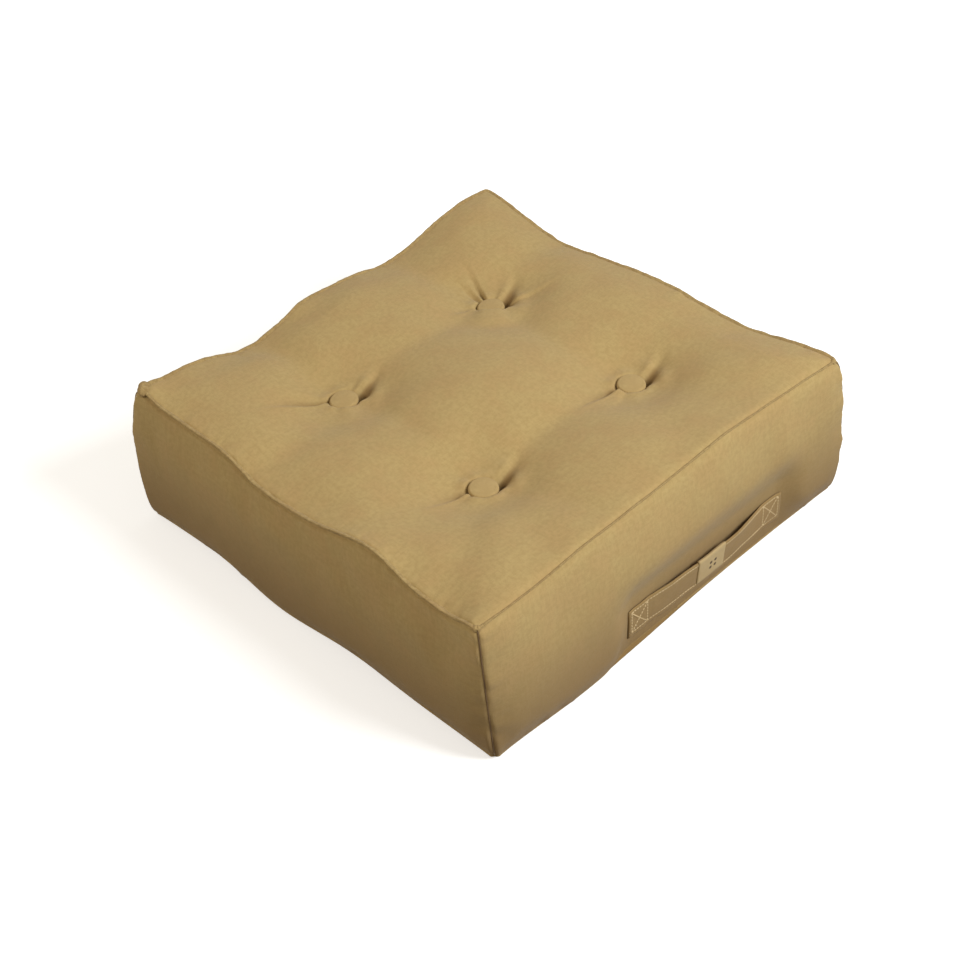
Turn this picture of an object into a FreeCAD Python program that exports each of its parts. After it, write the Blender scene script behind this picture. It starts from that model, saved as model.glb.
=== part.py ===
import FreeCAD, Part
import math
import os
import Sketcher
from FreeCAD import Placement, Rotation, Vector

# A square tufted floor cushion with a sewn carrying strap, in millimetres.
# The origin is the middle of the flat underside, +Z is up, and the strap is on the -Y side.

sizes = [
    # overall, from sewn edge to sewn edge
    ("width", 500),
    ("depth", 500),
    ("height", 180),
    ("crown_rise", 15),          # how far the middle of the top stands above its edge
    ("low_seam_height", 10),
    ("foot_curve", 60),          # the underside curves up over this much of its border
    # cover and fill
    ("fabric", 1.2),
    ("seam_lip", 4),             # the sewn edges stand out from the sides by this much
    ("fill_gap", 0.3),
    ("thread", 0.7),
    # tufts
    ("tuft_x", 105),
    ("tuft_y", 100),
    ("top_tuft_depth", 36),      # from the top of the crown down to the button's seat
    ("low_tuft_depth", 22),      # from the floor up to the button's seat
    ("tuft_seat_margin", 3),     # flat fabric left round each button
    ("tuft_flare", 1.4),         # how much the dimple's radius grows for each mm of height
    ("shank_gap", 0.5),
    ("channel_gap", 0.6),
    # covered buttons
    ("button_diameter", 30),
    ("button_height", 8),
    ("button_rim", 3),
    ("button_fabric", 0.8),
    ("button_hem", 3),
    ("shell_wall", 0.5),
    ("back_plate", 1),
    ("back_gap", 0.1),
    ("ring_radius", 3),
    ("ring_wire_radius", 0.7),
    ("twine_radius", 0.75),
    ("twine_gap", 0.1),
    # strap and label
    ("strap_centre", 45),        # the strap sits to the right of the side's middle
    ("strap_length", 230),
    ("strap_width", 36),
    ("strap_thickness", 2.4),
    ("strap_underside", 23),     # height of the strap's lower edge above the floor
    ("strap_sewn_end", 30),
    ("strap_bow", 9),
    ("strap_gap", 0.3),
    ("label_length", 42),
    ("label_thickness", 0.8),
    ("label_gap", 0.2),
    ("stitch_margin", 4),
    ("stitch_width", 0.8),
    ("stitch_height", 0.5),
]

half_x = "(Sizes.width / 2 - Sizes.seam_lip)"
half_y = "(Sizes.depth / 2 - Sizes.seam_lip)"
top_seam = "(Sizes.height - Sizes.crown_rise)"
top_lip = f"({top_seam} - Sizes.fabric)"          # where the panels' sewn edges meet
low_seam = "Sizes.low_seam_height"
low_lip = f"({low_seam} + Sizes.fabric)"
top_seat = "(Sizes.height - Sizes.top_tuft_depth)"
low_seat = "Sizes.low_tuft_depth"
button_outer = "(Sizes.button_diameter / 2)"
seat_radius = f"({button_outer} + Sizes.tuft_seat_margin)"
shank_hole_radius = "(Sizes.ring_radius + Sizes.ring_wire_radius + Sizes.shank_gap)"
shell_outer = f"({button_outer} - Sizes.button_fabric)"
shell_inner = f"({shell_outer} - Sizes.shell_wall)"
shell_top = "(Sizes.button_height - Sizes.button_fabric)"
half_free_strap = "(Sizes.strap_length / 2 - Sizes.strap_sewn_end - Sizes.strap_gap)"
strap_back = f"({half_y} + Sizes.strap_gap)"
strap_radius = f"(({half_free_strap}^2 + Sizes.strap_bow^2) / (2 * Sizes.strap_bow))"
strap_arc_centre = f"({strap_radius} - Sizes.strap_bow - {strap_back})"

corners = {"left_front": (-1, -1), "right_front": (1, -1), "right_back": (1, 1), "left_back": (-1, 1)}
reach = 20                       # how far cutting tools stand past what they cut
doc = FreeCAD.newDocument("FloorCushion")
made = []


def write_sizes():
    sheet = doc.addObject("Spreadsheet::Sheet", "Sizes")
    for row, (alias, value) in enumerate(sizes, start=1):
        sheet.set(f"A{row}", alias)
        sheet.set(f"B{row}", str(value))
        sheet.setAlias(f"B{row}", alias)
    doc.recompute()


def keep(thing, label):
    thing.Label = label
    made.append(thing)
    return thing


def bind(thing, **expressions):
    for name, expression in expressions.items():
        thing.setExpression(name, expression)


def place(thing, x="0", y="0", z="0", turn=None):
    if turn:
        thing.Placement = Placement(Vector(), turn)
    thing.setExpression("Placement.Base.x", x)
    thing.setExpression("Placement.Base.y", y)
    thing.setExpression("Placement.Base.z", z)
    return thing


# ---- shapes shared by several pieces


def box(name, x, y, z):
    """A box from three (low, high) pairs of expressions."""
    thing = doc.addObject("Part::Box", name)
    bind(thing, Length=f"({x[1]}) - ({x[0]})", Width=f"({y[1]}) - ({y[0]})", Height=f"({z[1]}) - ({z[0]})")
    return place(thing, x[0], y[0], z[0])


def cylinder(name, radius, height, x="0", y="0", z="0", turn=None):
    thing = doc.addObject("Part::Cylinder", name)
    bind(thing, Radius=radius, Height=height)
    return place(thing, x, y, z, turn)


def cut(name, base, tool):
    thing = doc.addObject("Part::Cut", name)
    thing.Base = base
    thing.Tool = tool
    return thing


def fuse(name, *pieces):
    thing = doc.addObject("Part::MultiFuse", name)
    thing.Shapes = list(pieces)
    return thing


def common(name, *pieces):
    thing = doc.addObject("Part::MultiCommon", name)
    thing.Shapes = list(pieces)
    return thing


def long_cylinders(name, half, radius, centre_height, along_y):
    """One cylinder wide enough to curve the whole top or underside."""
    turn = Rotation(Vector(1, 0, 0), -90) if along_y else Rotation(Vector(0, 1, 0), 90)
    start = f"-{half} - {reach}"
    where = {"y": start} if along_y else {"x": start}
    return cylinder(name, radius, f"2 * {half} + {2 * reach}", z=centre_height, turn=turn, **where)


def dimple(name, x, y, top, inset):
    """The cone that a tuft pulls into the top or the underside, grown by inset."""
    thing = doc.addObject("Part::Cone", name)
    floor_radius = f"({seat_radius} + {inset} * (sqrt(1 + Sizes.tuft_flare^2) - Sizes.tuft_flare))"
    depth = "Sizes.top_tuft_depth" if top else "Sizes.low_tuft_depth"
    height = f"({depth} + {inset} + {reach})"
    mouth_radius = f"{floor_radius} + Sizes.tuft_flare * {height}"
    if top:
        bind(thing, Radius1=floor_radius, Radius2=mouth_radius, Height=height)
        return place(thing, x, y, f"{top_seat} - {inset}")
    bind(thing, Radius1=mouth_radius, Radius2=floor_radius, Height=height)
    return place(thing, x, y, f"-{reach}")


def tuft_place(signs):
    return f"{signs[0]} * Sizes.tuft_x", f"{signs[1]} * Sizes.tuft_y"


def pillow(name, inset):
    """The whole cushion with its crown, curved underside and dimples, shrunk by inset."""
    hull = [
        box(name + "_walls", (f"{inset} - {half_x}", f"{half_x} - {inset}"),
            (f"{inset} - {half_y}", f"{half_y} - {inset}"), (inset, "Sizes.height"))
    ]
    for half, along_y, side in ((half_x, True, "x"), (half_y, False, "y")):
        crown = f"(({half}^2 + Sizes.crown_rise^2) / (2 * Sizes.crown_rise))"
        flat = f"({half} - Sizes.foot_curve)"
        foot_centre = f"(({half}^2 - {flat}^2 + {low_seam}^2) / (2 * {low_seam}))"
        foot = f"sqrt({foot_centre}^2 + {flat}^2)"
        across = half_y if along_y else half_x
        hull.append(long_cylinders(f"{name}_crown_{side}", across, f"{crown} - {inset}",
                                   f"Sizes.height - {crown}", along_y))
        hull.append(long_cylinders(f"{name}_foot_{side}", across, f"{foot} - {inset}",
                                   foot_centre, along_y))
    dimples = []
    for corner, signs in corners.items():
        x, y = tuft_place(signs)
        dimples.append(dimple(f"{name}_top_dimple_{corner}", x, y, True, inset))
        dimples.append(dimple(f"{name}_low_dimple_{corner}", x, y, False, inset))
    return cut(name, common(name + "_hull", *hull), fuse(name + "_dimples", *dimples))


def tuft_holes(name, radius):
    """Four upright holes, one at each tuft."""
    holes = []
    for corner, signs in corners.items():
        x, y = tuft_place(signs)
        holes.append(cylinder(f"{name}_{corner}", radius, f"Sizes.height + {2 * reach}", x, y, f"-{reach}"))
    return fuse(name, *holes)


def frame(name, inner_margin, outer_margin, low, high):
    """A square ring round the sides, between two distances out from them."""
    rings = []
    for part, margin in (("outer", outer_margin), ("inner", inner_margin)):
        rings.append(box(f"{name}_{part}", (f"-{half_x} - {margin}", f"{half_x} + {margin}"),
                         (f"-{half_y} - {margin}", f"{half_y} + {margin}"), (low, high)))
    return cut(name, rings[0], rings[1])


# ---- cover and fill


def add_cover_and_fill():
    outer = pillow("cover_outside", "0")
    inner = pillow("cover_inside", "Sizes.fabric")
    shell = cut("cover_shell", outer, inner)
    holes = tuft_holes("shank_holes", shank_hole_radius)
    over = f"Sizes.height + {reach}"
    middle = "Sizes.height / 2"
    add_face_panel("top_panel", shell, holes, (top_lip, over), (middle, over), (top_lip, top_seam))
    add_face_panel("bottom_panel", shell, holes, (f"-{reach}", low_lip), (f"-{reach}", middle),
                   (low_seam, low_lip))
    core = pillow("fill_outside", "(Sizes.fabric + Sizes.fill_gap)")
    channels = tuft_holes("twine_channels", f"{shank_hole_radius} + Sizes.channel_gap")
    keep(cut("fibre_fill", core, channels), "fibre_fill")


def add_face_panel(label, shell, holes, border_heights, inside_heights, lip_heights):
    """The top or bottom panel: its sheet, its dimples and the lip that is sewn to the sides."""
    border = box(label + "_border", (f"-{half_x}", half_x), (f"-{half_y}", half_y), border_heights)
    inside = box(label + "_inside", (f"Sizes.fabric - {half_x}", f"{half_x} - Sizes.fabric"),
                 (f"Sizes.fabric - {half_y}", f"{half_y} - Sizes.fabric"), inside_heights)
    sheet = common(label + "_sheet", shell, fuse(label + "_space", border, inside))
    lip = frame(label + "_lip", "0", "Sizes.seam_lip", *lip_heights)
    keep(cut(label, fuse(label + "_blank", sheet, lip), holes), label)


def origin_plane(body, role):
    return [plane for plane in body.Origin.OriginFeatures if plane.Role == role][0]


def polygon_sketch(body, name, role, points):
    """A closed outline whose corners are (x, y) pairs of expressions."""
    sketch = body.newObject("Sketcher::SketchObject", name)
    sketch.AttachmentSupport = [(origin_plane(body, role), "")]
    sketch.MapMode = "FlatFace"
    count = len(points)
    for index in range(count):
        angle = 2 * math.pi * index / count
        following = 2 * math.pi * (index + 1) / count
        start = Vector(10 * math.cos(angle), 10 * math.sin(angle), 0)
        end = Vector(10 * math.cos(following), 10 * math.sin(following), 0)
        sketch.addGeometry(Part.LineSegment(start, end), False)
    for index in range(count):
        sketch.addConstraint(Sketcher.Constraint("Coincident", index, 2, (index + 1) % count, 1))
    for index, (x, y) in enumerate(points):
        for kind, expression in (("DistanceX", x), ("DistanceY", y)):
            number = sketch.addConstraint(Sketcher.Constraint(kind, -1, 1, index, 1, 1.0))
            sketch.setExpression(f"Constraints[{number}]", expression)
    return sketch


def add_side_panel(label, half_along, half_out, turn):
    """One side of the cover, mitred at its corner seams, with a lip along the top and the bottom."""
    body = doc.addObject("PartDesign::Body", label)
    inner_along = f"{half_along} - Sizes.fabric"
    inner_out = f"Sizes.fabric - {half_out}"
    lip_along = f"{half_along} + Sizes.seam_lip"
    lip_out = f"-{half_out} - Sizes.seam_lip"
    wall = [(f"-{half_along}", f"-{half_out}"), (half_along, f"-{half_out}"),
            (inner_along, inner_out), (f"-({inner_along})", inner_out)]
    lip = [(f"-({lip_along})", lip_out), (lip_along, lip_out),
           (half_along, f"-{half_out}"), (f"-{half_along}", f"-{half_out}")]
    heights = ((wall, "wall", low_lip, f"{top_lip} - {low_lip}"),
               (lip, "low_lip", low_lip, "Sizes.fabric"),
               (lip, "top_lip", f"{top_lip} - Sizes.fabric", "Sizes.fabric"))
    for outline, part, low, thickness in heights:
        sketch = polygon_sketch(body, f"{label}_{part}_outline", "XY_Plane", outline)
        sketch.setExpression("AttachmentOffset.Base.z", low)
        pad = body.newObject("PartDesign::Pad", f"{label}_{part}")
        pad.Profile = sketch
        pad.setExpression("Length", thickness)
    body.Placement = Placement(Vector(), Rotation(Vector(0, 0, 1), turn))
    keep(body, label)


def add_seam_threads():
    """The line of stitching on each sewn edge, and the one down each corner."""
    inset = "(Sizes.seam_lip - Sizes.thread) / 2"
    outset = "(Sizes.seam_lip + Sizes.thread) / 2"
    above = (top_seam, f"{top_seam} + Sizes.thread")
    keep(frame("top_seam_thread", inset, outset, *above), "top_seam_thread")
    below = (f"{low_seam} - Sizes.thread", low_seam)
    keep(frame("bottom_seam_thread", inset, outset, *below), "bottom_seam_thread")
    threads = []
    for corner, (x, y) in corners.items():
        threads.append(cylinder(f"corner_thread_{corner}", "Sizes.thread / 2",
                                f"{top_lip} - {low_lip} - 2 * Sizes.fabric",
                                f"{x} * ({half_x} + Sizes.thread * sqrt(0.125))",
                                f"{y} * ({half_y} + Sizes.thread * sqrt(0.125))",
                                f"{low_lip} + Sizes.fabric"))
    group = doc.addObject("Part::Compound", "corner_seam_threads")
    group.Links = threads
    keep(group, "corner_seam_threads")


# ---- covered buttons and twine


def cap(name, radius, bottom, top):
    """A disc with a domed top, which meets its straight side at the rim's height."""
    rise = f"({top} - Sizes.button_rim)"
    ball_radius = f"(({radius}^2 + {rise}^2) / (2 * {rise}))"
    ball = doc.addObject("Part::Sphere", name + "_ball")
    bind(ball, Radius=ball_radius)
    place(ball, z=f"{top} - {ball_radius}")
    return common(name, ball, cylinder(name + "_disc", radius, f"{top} - ({bottom})", z=bottom))


def add_button(name, signs, top):
    """Fabric cover, domed metal shell, and a back plate whose wire ring goes through the panel."""
    bottom = "Sizes.button_fabric"
    skin = cut(name + "_skin", cap(name + "_outside", button_outer, "0", "Sizes.button_height"),
               cap(name + "_space", shell_outer, bottom, shell_top))
    mouth = cylinder(name + "_mouth", f"{shell_inner} - Sizes.button_hem", "Sizes.button_rim",
                     z="-Sizes.button_rim / 2")
    shell = cut(name + "_shell", cap(name + "_shell_outside", shell_outer, bottom, shell_top),
                cap(name + "_shell_inside", shell_inner, f"{bottom} - Sizes.shell_wall",
                    f"{shell_top} - Sizes.shell_wall"))
    plate = cylinder(name + "_plate", f"{shell_inner} - Sizes.back_gap", "Sizes.back_plate", z=bottom)
    ring = doc.addObject("Part::Torus", name + "_ring")
    bind(ring, Radius1="Sizes.ring_radius", Radius2="Sizes.ring_wire_radius")
    ring.Angle3 = 180
    place(ring, z=bottom, turn=Rotation(Vector(1, 0, 0), -90))
    x, y = tuft_place(signs)
    pieces = (("cover", cut(name + "_cover", skin, mouth)), ("shell", shell),
              ("back", fuse(name + "_back", plate, ring)))
    for part, piece in pieces:
        if top:
            place(piece, x, y, top_seat)
        else:
            place(piece, x, y, low_seat, Rotation(Vector(1, 0, 0), 180))
        keep(piece, f"{name}_{part}")


def add_twine(name, signs):
    """A closed loop of twine round the wire rings of a top button and the one below it."""
    bend = "(Sizes.ring_wire_radius + Sizes.twine_gap + Sizes.twine_radius)"
    hang = "(Sizes.ring_radius - Sizes.button_fabric)"
    low_end = f"({low_seat} + {hang})"
    high_end = f"({top_seat} - {hang})"
    strands = []
    for side in (-1, 1):
        strands.append(cylinder(f"{name}_strand_{side + 1}", "Sizes.twine_radius", f"{high_end} - {low_end}",
                                y=f"{side} * {bend}", z=low_end))
    for end, height, tilt in (("top", high_end, 0), ("low", low_end, 180)):
        turn = doc.addObject("Part::Torus", f"{name}_{end}_turn")
        bind(turn, Radius1=bend, Radius2="Sizes.twine_radius")
        turn.Angle3 = 180
        strands.append(place(turn, z=height, turn=Rotation(Vector(1, 0, 0), tilt).multiply(
            Rotation(Vector(0, 0, 1), 90).multiply(Rotation(Vector(1, 0, 0), 90)))))
    x, y = tuft_place(signs)
    keep(place(fuse(name, *strands), x, y), name)


# ---- strap and label


def bowed(name, inner_margin, outer_margin, x, z):
    """A stretch of the strap's arc, between two distances out from its inner face."""
    rings = []
    for part, margin in (("outer", outer_margin), ("inner", inner_margin)):
        rings.append(cylinder(f"{name}_{part}", f"{strap_radius} + {margin}", f"({z[1]}) - ({z[0]})",
                              "Sizes.strap_centre", strap_arc_centre, z[0]))
    slab = box(name + "_slab", x, (f"-{strap_back} - Sizes.strap_bow - {reach}", f"-{half_y} + {reach}"), z)
    return common(name, slab, cut(name + "_ring", *rings))


def add_strap():
    low = "Sizes.strap_underside"
    high = "(Sizes.strap_underside + Sizes.strap_width)"
    face = f"-{half_y} - Sizes.strap_thickness"
    half_length = "Sizes.strap_length / 2"
    span = (f"Sizes.strap_centre - {half_free_strap}", f"Sizes.strap_centre + {half_free_strap}")
    keep(bowed("strap_middle", "0", "Sizes.strap_thickness", span, (low, high)), "strap_middle")
    ends = {"left": (f"Sizes.strap_centre - {half_length}",
                     f"Sizes.strap_centre - {half_length} + Sizes.strap_sewn_end"),
            "right": (f"Sizes.strap_centre + {half_length} - Sizes.strap_sewn_end",
                      f"Sizes.strap_centre + {half_length}")}
    for side, x in ends.items():
        keep(box(f"strap_{side}_end", x, (face, f"-{half_y}"), (low, high)), f"strap_{side}_end")
        add_box_stitch(f"strap_{side}_stitching", x, face, (low, high))
    add_label(low, high)


def add_box_stitch(label, x, face, z):
    """A square of stitching with a cross in it, lying on a sewn-down end of the strap."""
    y = (f"{face} - Sizes.stitch_height", face)
    margin = "Sizes.stitch_margin"
    inner = "(Sizes.stitch_margin + Sizes.stitch_width)"
    square = cut(label + "_square",
                 box(label + "_outer", (f"{x[0]} + {margin}", f"{x[1]} - {margin}"), y,
                     (f"{z[0]} + {margin}", f"{z[1]} - {margin}")),
                 box(label + "_inner", (f"{x[0]} + {inner}", f"{x[1]} - {inner}"),
                     (f"{y[0]} - {reach}", f"{y[1]} + {reach}"), (f"{z[0]} + {inner}", f"{z[1]} - {inner}")))
    across = f"(Sizes.strap_sewn_end - 2 * {margin} - Sizes.stitch_width)"
    up = f"(Sizes.strap_width - 2 * {margin} - Sizes.stitch_width)"
    length = f"sqrt({across}^2 + {up}^2)"
    bars = []
    for slope in (-1, 1):
        bar = doc.addObject("Part::Box", f"{label}_bar_{slope + 1}")
        bind(bar, Length=length, Width="Sizes.stitch_height", Height="Sizes.stitch_width")
        lean = f"{slope} * atan({up} / {across})"
        bar.Placement = Placement(Vector(), Rotation(Vector(0, -1, 0), 0))
        bar.setExpression("Placement.Rotation", f"rotation(vector(0; -1; 0); {lean})")
        place(bar, f"({x[0]} + {x[1]}) / 2 - {length} / 2 * cos({lean}) + Sizes.stitch_width / 2 * sin({lean})",
              y[0],
              f"({z[0]} + {z[1]}) / 2 - {length} / 2 * sin({lean}) - Sizes.stitch_width / 2 * cos({lean})")
        bars.append(bar)
    keep(fuse(label, square, *bars), label)


def add_label(low, high):
    """A sleeve of woven tape folded round the middle of the strap."""
    x = ("Sizes.strap_centre - Sizes.label_length / 2", "Sizes.strap_centre + Sizes.label_length / 2")
    gap = "Sizes.label_gap"
    skin = "(Sizes.label_gap + Sizes.label_thickness)"
    outside = bowed("label_outside", f"-{skin}", f"Sizes.strap_thickness + {skin}", x,
                    (f"{low} - {skin}", f"{high} + {skin}"))
    inside = bowed("label_inside", f"-{gap}", f"Sizes.strap_thickness + {gap}",
                   (f"{x[0]} - {reach}", f"{x[1]} + {reach}"), (f"{low} - {gap}", f"{high} + {gap}"))
    keep(cut("label", outside, inside), "label")


# ---- the whole cushion


def check_and_write():
    doc.recompute()
    for thing in doc.Objects:
        if "Invalid" in thing.State or "Error" in thing.State:
            raise RuntimeError(f"{thing.Name} failed: {thing.State}")
    for piece in made:
        if piece.Shape.isNull() or not piece.Shape.isValid() or not piece.Shape.Solids:
            raise RuntimeError(f"{piece.Label} has no valid solid")
    os.makedirs("parts", exist_ok=True)
    for piece in made:
        piece.Shape.exportStep(f"parts/{piece.Label}.step")
        print(f"{piece.Label}: {len(piece.Shape.Solids)} solid, {piece.Shape.Volume:.1f} mm3")


write_sizes()
add_cover_and_fill()
add_side_panel("front_side_panel", half_x, half_y, 0)
add_side_panel("right_side_panel", half_y, half_x, 90)
add_side_panel("back_side_panel", half_x, half_y, 180)
add_side_panel("left_side_panel", half_y, half_x, 270)
add_seam_threads()
for corner, signs in corners.items():
    add_button(f"top_button_{corner}", signs, True)
    add_button(f"bottom_button_{corner}", signs, False)
    add_twine(f"tuft_twine_{corner}", signs)
add_strap()
check_and_write()
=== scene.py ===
import math
import bpy
import numpy as np
from mathutils import Matrix, Vector


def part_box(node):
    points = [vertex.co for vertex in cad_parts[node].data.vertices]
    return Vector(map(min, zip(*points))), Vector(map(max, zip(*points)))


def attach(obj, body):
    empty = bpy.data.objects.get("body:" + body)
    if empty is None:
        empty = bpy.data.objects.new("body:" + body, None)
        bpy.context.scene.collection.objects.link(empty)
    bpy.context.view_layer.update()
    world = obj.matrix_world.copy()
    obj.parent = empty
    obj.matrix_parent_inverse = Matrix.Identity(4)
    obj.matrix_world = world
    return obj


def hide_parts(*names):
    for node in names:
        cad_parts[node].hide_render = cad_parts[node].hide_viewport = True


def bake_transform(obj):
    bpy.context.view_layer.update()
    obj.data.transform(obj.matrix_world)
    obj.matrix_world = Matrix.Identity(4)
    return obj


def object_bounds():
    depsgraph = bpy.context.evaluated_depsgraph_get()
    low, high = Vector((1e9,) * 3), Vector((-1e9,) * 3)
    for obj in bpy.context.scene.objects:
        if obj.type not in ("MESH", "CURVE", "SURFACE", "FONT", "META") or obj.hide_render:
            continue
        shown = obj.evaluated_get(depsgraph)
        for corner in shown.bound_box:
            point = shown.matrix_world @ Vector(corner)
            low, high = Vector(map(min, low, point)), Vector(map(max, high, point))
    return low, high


# A tufted square floor cushion in khaki linen, with a carrying strap on its front side.
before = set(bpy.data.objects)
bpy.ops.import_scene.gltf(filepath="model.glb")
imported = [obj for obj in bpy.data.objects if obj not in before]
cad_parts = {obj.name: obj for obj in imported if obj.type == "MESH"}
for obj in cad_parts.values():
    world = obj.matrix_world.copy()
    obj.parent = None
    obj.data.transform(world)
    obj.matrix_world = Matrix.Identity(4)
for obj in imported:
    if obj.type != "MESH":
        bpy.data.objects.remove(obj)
cadLow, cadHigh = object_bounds()
cushion = "cushion"
handle = "handle"
corners = {"left_front": (-1, -1), "right_front": (1, -1), "right_back": (1, 1), "left_back": (-1, 1)}

cameraSettings = {
    "azimuth": -42.22,      # degrees round from the strap side
    "elevation": 41.66,
    "roll": -4.02,
    "distance": 1.7575,
    "aim": (0, 0, 0.09),
    "slideRight": 0.0055,   # how far the aim point sits from the middle of the view
    "slideUp": 0.0497,
    "lens": 63.23,
}


def makeCamera(s):
    azimuth, elevation, roll = (math.radians(s[name]) for name in ("azimuth", "elevation", "roll"))
    back = Vector((math.sin(azimuth) * math.cos(elevation), -math.cos(azimuth) * math.cos(elevation),
                   math.sin(elevation)))
    flatRight = Vector((math.cos(azimuth), math.sin(azimuth), 0))
    flatUp = back.cross(flatRight)
    right = flatRight * math.cos(roll) + flatUp * math.sin(roll)
    up = flatUp * math.cos(roll) - flatRight * math.sin(roll)
    data = bpy.data.cameras.new("camera")
    data.lens = s["lens"]
    data.sensor_width = 36
    data.dof.use_dof = False
    camera = bpy.data.objects.new("camera", data)
    bpy.context.scene.collection.objects.link(camera)
    place = Vector(s["aim"]) + back * s["distance"] - right * s["slideRight"] - up * s["slideUp"]
    rows = [[right[i], up[i], back[i], place[i]] for i in range(3)]
    camera.matrix_world = Matrix(rows + [[0, 0, 0, 1]])
    bpy.context.scene.camera = camera


makeCamera(cameraSettings)
print("camera ready")


def softCurve(stops, places):
    # a smooth curve through (place, value) stops, level at its ends
    known = np.array([stop[0] for stop in stops], float)
    values = np.array([stop[1] for stop in stops], float)
    slopes = np.zeros(len(stops))
    slopes[1:-1] = (values[2:] - values[:-2]) / (known[2:] - known[:-2])
    left = np.clip(np.searchsorted(known, places, side="right") - 1, 0, len(stops) - 2)
    step = known[left + 1] - known[left]
    f = np.clip((places - known[left]) / step, 0, 1)
    start = values[left] * (2 * f**3 - 3 * f**2 + 1) + slopes[left] * step * (f**3 - 2 * f**2 + f)
    end = values[left + 1] * (3 * f**2 - 2 * f**3) + slopes[left + 1] * step * (f**3 - f**2)
    return start + end


def splineWeights(places, count):
    # Catmull-Rom weights that read a row of count even points at fractional places
    weights = np.zeros((len(places), count))
    for row, place in enumerate(places):
        first = min(int(place), count - 2)
        f = place - first
        four = (-0.5 * f + f**2 - 0.5 * f**3, 1 - 2.5 * f**2 + 1.5 * f**3,
                0.5 * f + 2 * f**2 - 1.5 * f**3, 0.5 * f**3 - 0.5 * f**2)
        for column, value in zip(range(first - 1, first + 3), four):
            if column < 0:
                weights[row, 0] += 2 * value
                weights[row, 1] -= value
            elif column >= count:
                weights[row, -1] += 2 * value
                weights[row, -2] -= value
            else:
                weights[row, column] += value
    return weights


def resample(grid, across, along):
    first = splineWeights(across, grid.shape[0])
    second = splineWeights(along, grid.shape[1])
    return np.einsum("ai,bj,ijc->abc", first, second, grid)


def softNoise(places, spacing, seed):
    # smooth random hills along a line, about -1 to 1
    values = np.random.default_rng(seed).uniform(-1, 1, 2000)
    at = places / spacing + 700
    first = np.floor(at).astype(int)
    f = at - first
    f = f * f * (3 - 2 * f)
    return values[first] * (1 - f) + values[first + 1] * f


def softField(x, y, spacing, seed):
    # smooth random hills over a plane, about -1 to 1
    values = np.random.default_rng(seed).uniform(-1, 1, (160, 160))
    atX, atY = x / spacing + 70, y / spacing + 70
    i, j = np.floor(atX).astype(int), np.floor(atY).astype(int)
    f, g = atX - i, atY - j
    f, g = f * f * (3 - 2 * f), g * g * (3 - 2 * g)
    low = values[i, j] * (1 - f) + values[i + 1, j] * f
    high = values[i, j + 1] * (1 - f) + values[i + 1, j + 1] * f
    return low * (1 - g) + high * g


def smoothStep(value, low, high):
    f = np.clip((value - low) / (high - low), 0, 1)
    return f * f * (3 - 2 * f)


def hump(value, reach):
    # a bell: 1 where the value is nought, dying away past the reach
    return np.exp(-(value / reach) ** 2)


def walkAlong(path):
    # distance from the path's first point to each of its points
    return np.concatenate([[0], np.cumsum(np.linalg.norm(np.diff(path, axis=0), axis=1))])


def circle(count):
    return np.linspace(0, 2 * math.pi, count, endpoint=False)


def newPiece(name, points, faces, smooth=True):
    mesh = bpy.data.meshes.new(name)
    mesh.from_pydata([tuple(p) for p in points], [], faces)
    mesh.polygons.foreach_set("use_smooth", [smooth] * len(mesh.polygons))
    mesh.update()
    piece = bpy.data.objects.new(name, mesh)
    bpy.context.scene.collection.objects.link(piece)
    return piece


def layCloth(piece, where, domain="POINT"):
    # keeps where the piece's points lie on flat cloth, which the weave follows
    cloth = piece.data.attributes.new("clothPlace", "FLOAT_VECTOR", domain)
    cloth.data.foreach_set("vector", np.asarray(where).ravel())


def markPaintedShade(piece, depth):
    # keeps how much painted shade each point gets: darker colour in the creases, under the seam ridges and
    # round the button rims, where shade falls
    paintedShade = piece.data.attributes.new("paintedShade", "FLOAT", "POINT")
    paintedShade.data.foreach_set("value", depth)


def numbered(rows, columns):
    return np.arange(rows * columns).reshape(rows, columns)


def ringQuads(numbers, closed=False):
    # quads between rings of points, one ring to a row
    ahead = np.roll(numbers, -1, 0) if closed else numbers[1:]
    first = numbers if closed else numbers[:-1]
    return np.stack([first, ahead, np.roll(ahead, -1, 1), np.roll(first, -1, 1)], -1).reshape(-1, 4).tolist()


def cappedRings(numbers):
    return ringQuads(numbers) + [numbers[0].tolist(), numbers[-1][::-1].tolist()]


# The cover is one closed lattice of fabric, blown up between its seams and tufts.
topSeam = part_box("front_side_panel")[1].z
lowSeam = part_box("front_side_panel")[0].z
lip = cadHigh.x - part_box("fibre_fill")[1].x - 0.0015
halfX = cadHigh.x - lip
halfY = cadHigh.y - lip
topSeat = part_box("top_button_left_front_cover")[0].z
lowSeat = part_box("bottom_button_left_front_cover")[1].z
buttonLow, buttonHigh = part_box("top_button_right_back_cover")
tuftX = (buttonLow.x + buttonHigh.x) / 2
tuftY = (buttonLow.y + buttonHigh.y) / 2
buttonRadius = (buttonHigh.x - buttonLow.x) / 2

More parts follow.
